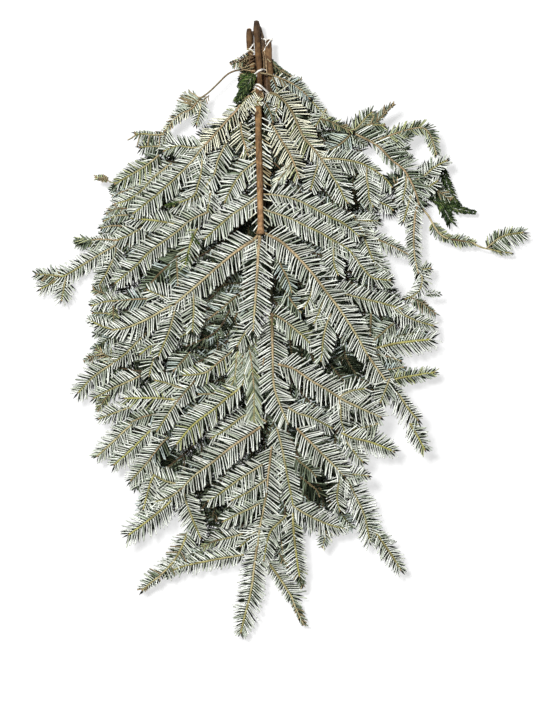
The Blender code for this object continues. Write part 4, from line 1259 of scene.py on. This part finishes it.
backLowLeft = {"covers": ["back_low_left", "back_low_left_end", "back_low_inner"], "shoots": [
    limb(1, (-30, -158), (-47, -170), (-79, -192), (-107, -215), (-133, -234), (-154, -255)),
    twig(0, (-154, -252), (-170, -248), (-187, -243), (-203, -233)),
    twig(0, (-154, -255), (-175, -271), (-198, -278)),
    twig(-1, (-200, -236), (-205, -246), (-211, -266), (-217, -289), sizes={1: 1.0, -1: 0.6},
        age=(0.86, 0.94), wood=(1.6, 1.3), tipSize=0.7),
    dim(-4, (-206, -262), (-214, -282), (-222, -300), reach=18, wood=None),
    twig(0, (-172, -276), (-187, -290), (-213, -311), (-240, -331), sizes={1: 1.2, -1: 1.0},
        age=(0.86, 0.96), wood=(1.6, 1.3), tipSize=0.75),
    twig(-1, (-26, -218), (-37, -225), (-65, -243), (-93, -264), (-113, -277)),
    twig(-2, (-20, -242), (-48, -262), (-75, -276)),
    twig(-2, (-30, -280), (-44, -288), (-63, -297), (-89, -310)),
]}
buildSpray("backLowLeft", backLowLeft)

backLowFar = {"covers": ["back_low_far"], "shoots": [
    twig(0, (-154, -255), (-149, -278), (-141, -300), (-133, -320), (-126, -336), age=(0.7, 0.95)),
    twig(0, (-147, -328), (-153, -345), (-160, -360), (-170, -376), (-184, -391), reach=20, angle=72,
        age=(0.86, 0.8), wood=(1.6, 1.5), pitch=3.5, tipRun=3, frost=5, silver=4, deep=2, straw=1),
    twig(0, (-184, -391), (-192, -399), (-205, -409), (-219, -421), reach=21, sizes={1: 0.45, -1: 1.0},
        angle=76, age=(0.7, 0.84), wood=(1.5, 1.1), pitch=3.5, frost=5, silver=4, deep=2, straw=2),
    twig(-1, (-56, -364), (-85, -369), (-112, -374), (-150, -382), (-172, -390), sizes={1: 0.74, -1: 1.0},
        lean=12, age=(0.78, 0.9), wood=(1.6, 1.2), tipSize=0.7),
    dim(-1, (-160, -385), (-172, -390), (-184, -397), reach=15, angle=44, wood=None, blue=3, deep=4,
        silver=2),
    olive(1, (-98, -340), (-110, -345), (-122, -353), reach=11, angle=44, lime=3, deep=4, silver=2),
    dim(-3, (-116, -356), (-132, -362), (-148, -366), reach=15, wood=None),
    twig(-2, (-58, -330), (-72, -335), (-102, -342)),
]}
buildSpray("backLowFar", backLowFar)

backLowRight = {"covers": ["back_low_right", "back_low_right_end"], "shoots": [
    limb(1, (28, -160), (39, -171), (62, -194), (83, -215), (102, -234)),
    twig(0, (100, -232), (120, -234), (141, -236), reach=18),
    twig(-1, (100, -234), (95, -250), (93, -272), (97, -292), age=(0.74, 0.9)),
    twig(0, (102, -236), (116, -256), (126, -276), (136, -298), (142, -322), (146, -342), lean=16, reach=27,
        age=(0.6, 0.9), tipSize=0.6),
    twig(-1, (156, -330), (168, -346), (181, -365), (195, -388), reach=20, age=(0.9, 0.9), wood=(1.7, 1.4),
        tipSize=0.6),
    dim(-3, (142, -312), (154, -328), (166, -346), reach=18, wood=None),
    dim(-3, (26, -206), (36, -216), (50, -227), (58, -236), age=(0.22, 0.32), reach=22, silver=6, deep=3),
    dim(-15, (34, -238), (47, -248), (60, -259), (64, -268), age=(0.18, 0.24), reach=25, angle=60,
        between=0.4, deep=3, shade=5),
    dim(-20, (62, -250), (69, -264), (71, -274), (71, -286), age=(0.06, 0.12), reach=24, angle=62,
        between=0.4, deep=2, shade=6),
]}
buildSpray("backLowRight", backLowRight)

backTips = {"covers": ["back_tip_middle", "back_tip_left", "back_tip_right"], "shoots": [
    limb(0, (-12, -190), (-14, -210), (-18, -241), (-20, -264), (-27, -302), (-31, -322), (-34, -350),
        wood=(1.8, 1.3)),
    twig(0, (-35, -350), (-39, -377), (-42, -405), (-47, -433), (-54, -460), (-61, -489), reach=23,
        sizes={1: 1.15, -1: 1.0}, lean=-8, angle=68, age=(0.62, 0.92), wood=(2.0, 1.4), pitch=3.8),
    twig(0, (-4, -158), (4, -189), (11, -225), (15, -245), (23, -286)),
    twig(0, (22, -284), (36, -294), (51, -302), (76, -314), (104, -322), age=(0.7, 0.9)),
    dim(-2, (98, -296), (108, -308), (118, -320), reach=16, wood=None),
    twig(-2, (77, -320), (74, -336), (70, -351), reach=15, silver=4, cream=2),
    young(1, (22, -296), (24, -330), (28, -365), (33, -398), sizes={1: 0.74, -1: 1.0}, reach=24,
        age=(0.86, 0.96), wood=(1.8, 1.4), tipRun=14),
    olive(0, (31, -388), (34, -402), (38, -415), reach=11, wood=None, straw=3, deep=4, silver=2),
    twig(-1, (12, -300), (0, -312), (-13, -325), (-20, -347), (-24, -372), age=(0.8, 0.95)),
    twig(-1, (-20, -374), (-8, -390), (8, -413), (22, -436), reach=26, sizes={1: 1.0, -1: 0.5}, angle=62,
        age=(0.84, 0.8), wood=(1.8, 1.5), tipRun=6),
    twig(-1, (20, -433), (27, -450), (33, -464), (39, -477), reach=13, sizes={1: 1.0, -1: 0.5}, angle=50,
        age=(0.7, 0.74), wood=(1.5, 1.1), pitch=3.2, silver=4, straw=3, deep=2, tipSize=0.7),
    olive(0, (0, -362), (7, -372), (14, -382), reach=9),
    dim(-5, (2, -320), (4, -345), (8, -370), reach=18, silver=5, blue=3),
    dim(-6, (-48, -350), (-66, -352), (-84, -353), reach=14, wood=None),
    twig(-2, (-30, -316), (-46, -335), (-61, -350)),
]}
buildSpray("backTips", backTips)

baseUpper = {"covers": ["base_upper"], "limbs": [
    (bottom, 0.10, [(-24, 336), (-24, 290), (-23, 230), (-21, 160), (-19, 90), (-17, 34)]),
    (bottom, 0.10, [(-30, 340), (-80, 315), (-140, 280), (-205, 262), (-246, 236)]),
    (bottom, 0.10, [(-18, 345), (40, 335), (100, 310), (134, 306)]),
    (bottom, 0.10, [(222, 246), (236, 251), (250, 256)]),
    (inner, 0.42, [(-34, 355), (-70, 322), (-100, 300), (-150, 262), (-196, 240)]),
    (inner, 0.42, [(-16, 350), (40, 330), (90, 285), (130, 240), (165, 200)]),
    (inner, 0.50, [(-36, 310), (-60, 280), (-74, 240), (-80, 200)]),
    (inner, 0.40, [(-8, 394), (14, 384), (40, 366), (66, 346)]),
    (inner, 0.40, [(-40, 372), (-62, 350), (-86, 326)]),
    (bottom, 0.12, [(-10, 398), (16, 388), (44, 366)]),
    (inner, 0.50, [(-24, 305), (0, 270), (24, 235), (44, 205)]),
]}
buildSpray("baseUpper", baseUpper)

baseLeft = {"covers": ["base_left"], "limbs": [
    (bottom, 0.10, [(-30, 270), (-100, 232), (-180, 192), (-262, 160)]),
    (bottom, 0.10, [(-28, 190), (-88, 160), (-170, 115), (-288, 62)]),
    (bottom, 0.10, [(-24, 110), (-100, 75), (-190, 25), (-284, 0)]),
    (inner, 0.42, [(-90, 240), (-130, 215), (-190, 196), (-250, 200)]),
    (inner, 0.42, [(-36, 190), (-90, 140), (-150, 110), (-230, 130), (-270, 150)]),
    (inner, 0.46, [(-36, 130), (-80, 80), (-120, 40), (-190, 0), (-270, 10)]),
    (inner, 0.50, [(-40, 90), (-70, 45), (-100, -5), (-150, -30)]),
]}
buildSpray("baseLeft", baseLeft)

baseRight = {"covers": ["base_right"], "limbs": [
    (bottom, 0.10, [(-16, 280), (60, 240), (140, 212), (240, 205)]),
    (bottom, 0.10, [(-18, 200), (46, 172), (100, 145), (150, 125)]),
    (bottom, 0.10, [(-14, 110), (60, 66), (130, 44), (218, 12)]),
    (inner, 0.42, [(60, 230), (110, 190), (150, 165)]),
    (inner, 0.42, [(-16, 160), (30, 130), (80, 110), (130, 60), (190, 20)]),
    (inner, 0.46, [(-20, 100), (20, 60), (60, 20), (110, -20), (180, -30)]),
    (inner, 0.50, [(-20, 60), (10, 20), (40, -20), (60, -60)]),
]}
buildSpray("baseRight", baseRight)

baseLower = {"covers": ["base_lower"], "limbs": [
    (bottom, 0.10, [(-15, 16), (-12, -50), (-8, -130), (-4, -210), (-6, -280), (-14, -380)]),
    (bottom, 0.10, [(-15, -200), (-60, -270), (-110, -340), (-146, -368)]),
    (inner, 0.42, [(-16, -60), (-40, -120), (-60, -180), (-90, -240), (-130, -300)]),
    (inner, 0.42, [(0, -120), (20, -180), (50, -240), (90, -290)]),
    (inner, 0.42, [(-16, -200), (-30, -260), (-60, -320), (-90, -360)]),
    (inner, 0.42, [(0, -230), (10, -290), (5, -340), (16, -390)]),
]}
buildSpray("baseLower", baseLower)

baseLowLeft = {"covers": ["base_low_left"], "limbs": [
    (bottom, 0.10, [(-22, 40), (-90, -10), (-180, -58), (-290, -88)]),
    (bottom, 0.10, [(-18, -40), (-76, -75), (-160, -140), (-262, -182)]),
    (bottom, 0.10, [(-16, -120), (-70, -180), (-140, -240), (-204, -292)]),
    (inner, 0.42, [(-60, 0), (-120, -50), (-200, -70), (-280, -60)]),
    (inner, 0.42, [(-40, -60), (-100, -110), (-170, -150), (-250, -170)]),
    (inner, 0.42, [(-90, -140), (-150, -200), (-200, -240)]),
]}
buildSpray("baseLowLeft", baseLowLeft)

baseLowRight = {"covers": ["base_low_right"], "limbs": [
    (bottom, 0.10, [(-8, 20), (50, -20), (120, -60), (192, -84)]),
    (bottom, 0.10, [(-6, -70), (50, -108), (100, -140), (148, -166)]),
    (bottom, 0.10, [(-6, -150), (50, -210), (100, -262), (146, -318)]),
    (inner, 0.42, [(60, -30), (110, -90), (160, -130)]),
    (inner, 0.42, [(0, -60), (60, -130), (120, -190)]),
]}
buildSpray("baseLowRight", baseLowRight)
print(f"sprays made: {totals['needles']} needles, {totals['triangles']} triangles")


# Bark relief in mm; swells as (y, mm, half length); the end's width over the stem's.
stems = {
    "frontStem": {"covers": "front_stem", "bark": "bark", "relief": 0.6, "end": 0.5, "swells": [
        (480, 1.0, 9), (448, 0.3, 16), (402, -0.7, 7), (377, 0.9, 6), (340, 0.6, 10), (150, 1.2, 5)]},
    "leftStem": {"covers": "left_stem", "bark": "bark", "relief": 0.5, "end": 0.5, "swells": [
        (462, 0.8, 14)]},
    "rightStem": {"covers": "right_stem", "bark": "redShadedBark", "relief": 0.5, "end": 0.6, "swells": [
        (445, 1.2, 14), (394, 0.5, 10)]},
    "backStem": {"covers": "back_stem", "bark": "shadedBark", "relief": 0.5, "end": 0.7, "swells": [
        (462, 1.6, 22)]},
}
furrows = {"scale": 260.0, "along": 0.28, "finer": 2.7}


def buildStem(name, stem):
    bm = bmesh.new()
    bm.from_mesh(nodes[stem["covers"]].data)
    bmesh.ops.remove_doubles(bm, verts=bm.verts, dist=1e-6)
    bmesh.ops.join_triangles(bm, faces=bm.faces, angle_face_threshold=0.5, angle_shape_threshold=3.0)
    bmesh.ops.subdivide_edges(bm, edges=bm.edges, cuts=2, use_grid_fill=True, smooth=0.0)
    top = max(vertex.co.y for vertex in bm.verts)
    ends = [vertex for vertex in bm.verts if vertex.co.y > top - 0.5 * mm]
    middle = sum((vertex.co for vertex in ends), Vector()) / len(ends)
    bmesh.ops.scale(bm, verts=ends, vec=(stem["end"], 1.0, stem["end"]), space=Matrix.Translation(-middle))
    bm.normal_update()
    for face in bm.faces:  # the cut wood is material 1
        face.material_index = int(face.calc_center_median().y > top - 1.5 * mm and face.normal.y > 0.8)
    for vertex in bm.verts:
        place = vertex.co * furrows["scale"]
        place.y *= furrows["along"]
        rough = noise.noise(place) + 0.5 * noise.noise(place * furrows["finer"])
        along = vertex.co.y / mm
        swell = sum(size * math.exp(-((along - y) / half) ** 2) for y, size, half in stem["swells"])
        vertex.co += vertex.normal * (stem["relief"] * rough + swell) * mm
    addPiece(name, meshFrom(bm, name), [stem["bark"], "cut"], [stem["covers"]])


for name, stem in stems.items():
    buildStem(name, stem)
print("stems made")


# Each twine is a closed loop of (x, y, side): 1 runs over the named stems, -1 under them, 0 beside.
twine = {
    "plies": 3, "lay": 7.0, "step": 1.2, "sides": 6,
    "spread": 0.95,  # of the plies' middles from the twine's, in ply radii
    "stand": 1.9,  # of the twine's middle above a stem, in ply radii
    "loops": {
        "twineTop": {
            "covers": ["twine_top"], "ply": 0.62, "stems": ["back_stem", "left_stem", "right_stem"],
            "points": [(-41, 456, 1), (-34, 466, 1), (-27, 465.4, 1), (-19, 464.5, 1), (-11, 463, 0),
                       (-18, 459, -1), (-34, 450, -1), (-53, 445, 0), (-46, 448, 1), (-35, 441, 1),
                       (-26, 444, 1), (-20, 453, 1), (-15, 460.5, 1), (-11, 465, 0), (-20, 462, -1),
                       (-36, 452, -1), (-53, 444, 0), (-47, 448.5, 1), (-41, 456, 1)],
        },
        "twineUpper": {
            "covers": ["twine_upper"], "ply": 0.95,
            "stems": ["front_stem", "left_stem", "back_stem", "right_stem"],
            "points": [(-46, 402, 1), (-40, 407, 1), (-35, 410, 1), (-30, 413, 1), (-26, 414.6, 0),
                       (-20.5, 414.6, 1), (-17.5, 412, 0), (-24, 410, -1), (-34, 406, -1), (-48, 399, 0),
                       (-46, 402, 1)],
        },
        "twineLower": {
            "covers": ["twine_lower"], "ply": 0.92,
            "stems": ["front_stem", "left_stem", "right_stem", "back_stem", "front_limb_right"],
            "points": [(-45, 394, 1), (-41, 392.6, 1), (-36, 390.4, 1), (-32, 388.8, 1), (-28, 386.4, 1),
                       (-24, 383.2, 0), (-20, 380, 0), (-12, 373, 0), (-6, 369, 0), (-14, 371, -1),
                       (-28, 380, -1), (-49, 389, 0), (-44, 390, 1), (-40, 388.4, 1), (-36, 385.4, 1),
                       (-31, 382, 1), (-27, 379.6, 1), (-22, 376.6, 0), (-14, 371.5, 0), (-6, 367, 0),
                       (-16, 373, -1), (-30, 384, -1), (-50, 392, 0), (-45, 394, 1)],
        },
    },
}


def contact(trees, x, y, side, gap):  # height of a twine's middle on the stems at x, y
    start = Vector((x * mm, y * mm, side))
    hits = [tree.ray_cast(start, -side * upward)[0] for tree in trees] if side else []
    heights = [hit.z * side for hit in hits if hit]
    return side * max(heights) / mm + side * gap if heights else None


def tightRoute(loop, trees, thickness):  # a twine drawn tight: straight between the stems it touches
    corners = [Vector((x, y)) for x, y, _ in loop["points"]]
    sides = [side for _, _, side in loop["points"]]
    flat = smoothRoute([(x, y) for x, y, _ in loop["points"]], twine["step"])
    heights = []
    reached = 0
    for place in flat:
        while reached + 2 < len(corners):
            if (place - corners[reached + 1]).length >= (place - corners[reached]).length:
                break
            reached += 1
        heights.append(contact(trees, place.x, place.y, sides[reached], thickness))
    known = [index for index, height in enumerate(heights) if height is not None]
    heights = list(np.interp(range(len(heights)), known, [heights[index] for index in known]))
    return [Vector((place.x, place.y, height)) for place, height in zip(flat, evened(heights, 3))]


def buildTwine(name, loop):
    ply = loop["ply"]
    route = tightRoute(loop, Ground(loop["stems"]).trees, twine["stand"] * ply)
    bm = bmesh.new()
    for strand in range(twine["plies"]):
        rings = []
        for index, place in enumerate(route):
            ahead = heading(route, index - 1, index + 1)
            side = ahead.cross(upward)
            side = side.normalized() if side.length > 0.1 else Vector((1, 0, 0))
            over = side.cross(ahead)
            turn = math.tau * (index * twine["step"] / twine["lay"] + strand / twine["plies"])
            middle = place + (side * math.cos(turn) + over * math.sin(turn)) * ply * twine["spread"]
            ring = []
            for corner in range(twine["sides"]):
                angle = math.tau * corner / twine["sides"]
                point = middle + (side * math.cos(angle) + over * math.sin(angle)) * ply
                ring.append(bm.verts.new(point * mm))
            rings.append(ring)
        for first, second in zip(rings, rings[1:]):
            for corner in range(twine["sides"]):
                after = (corner + 1) % twine["sides"]
                bm.faces.new((first[corner], first[after], second[after], second[corner]))
        bm.faces.new(rings[0])
        bm.faces.new(rings[-1])
    bmesh.ops.recalc_face_normals(bm, faces=bm.faces)
    addPiece(name, meshFrom(bm, name), ["twine"], loop["covers"])


for name, loop in twine["loops"].items():
    buildTwine(name, loop)
print("twine made")


studio = {
    "focus": (-0.020, -0.048, 0.05), "distance": 4.0, "span": 1.1456, "daylight": 0.03,
    # place, width, power
    "softboxes": {"softbox_key": ((-1.7, 1.6, 5.4), 1.2, 535), "softbox_fill": ((2.2, -1.4, 5.0), 2.4, 24)},
}

camera = addObject("camera", bpy.data.cameras.new("camera"))
camera.location = Vector(studio["focus"]) + studio["distance"] * upward
camera.data.lens = camera.data.sensor_width * studio["distance"] / studio["span"]
bpy.context.scene.camera = camera

for name, (place, width, power) in studio["softboxes"].items():
    light = bpy.data.lights.new(name, "AREA")
    light.shape = "RECTANGLE"
    light.size = width
    light.size_y = width
    light.energy = power
    lamp = addObject(name, light)
    lamp.location = place
    lamp.rotation_euler = (-Vector(place)).to_track_quat("-Z", "Y").to_euler()

world = bpy.data.worlds.new("studio")
bpy.context.scene.world = world
world.use_nodes = True
world.node_tree.nodes["Background"].inputs["Color"].default_value = (1, 1, 1, 1)
world.node_tree.nodes["Background"].inputs["Strength"].default_value = studio["daylight"]

bm = bmesh.new()
bmesh.ops.create_grid(bm, x_segments=2, y_segments=2, size=4.0)
bmesh.ops.translate(bm, verts=bm.verts, vec=(0, 0, -0.0004))
floor = addObject("floor", meshFrom(bm, "floor"))
paper = Shading("floor")
paper.finish((0.9, 0.9, 0.9), 0.9, 0.1)
lit = paper.node("ShaderNodeEmission", None, {"Color": (1.0, 1.0, 1.0), "Strength": 1.0})
seen = paper.node("ShaderNodeLightPath", None, None, "Is Camera Ray")
sheet = Signal(paper, paper.shader.outputs[0])
mixed = paper.node("ShaderNodeMixShader", None, {0: seen * 0.68, 1: sheet, 2: lit})
paper.feed(paper.nodes["Material Output"].inputs["Surface"], mixed)
floor.data.materials.append(paper.material)

bpy.context.scene.view_settings.view_transform = "Standard"
print("studio made")
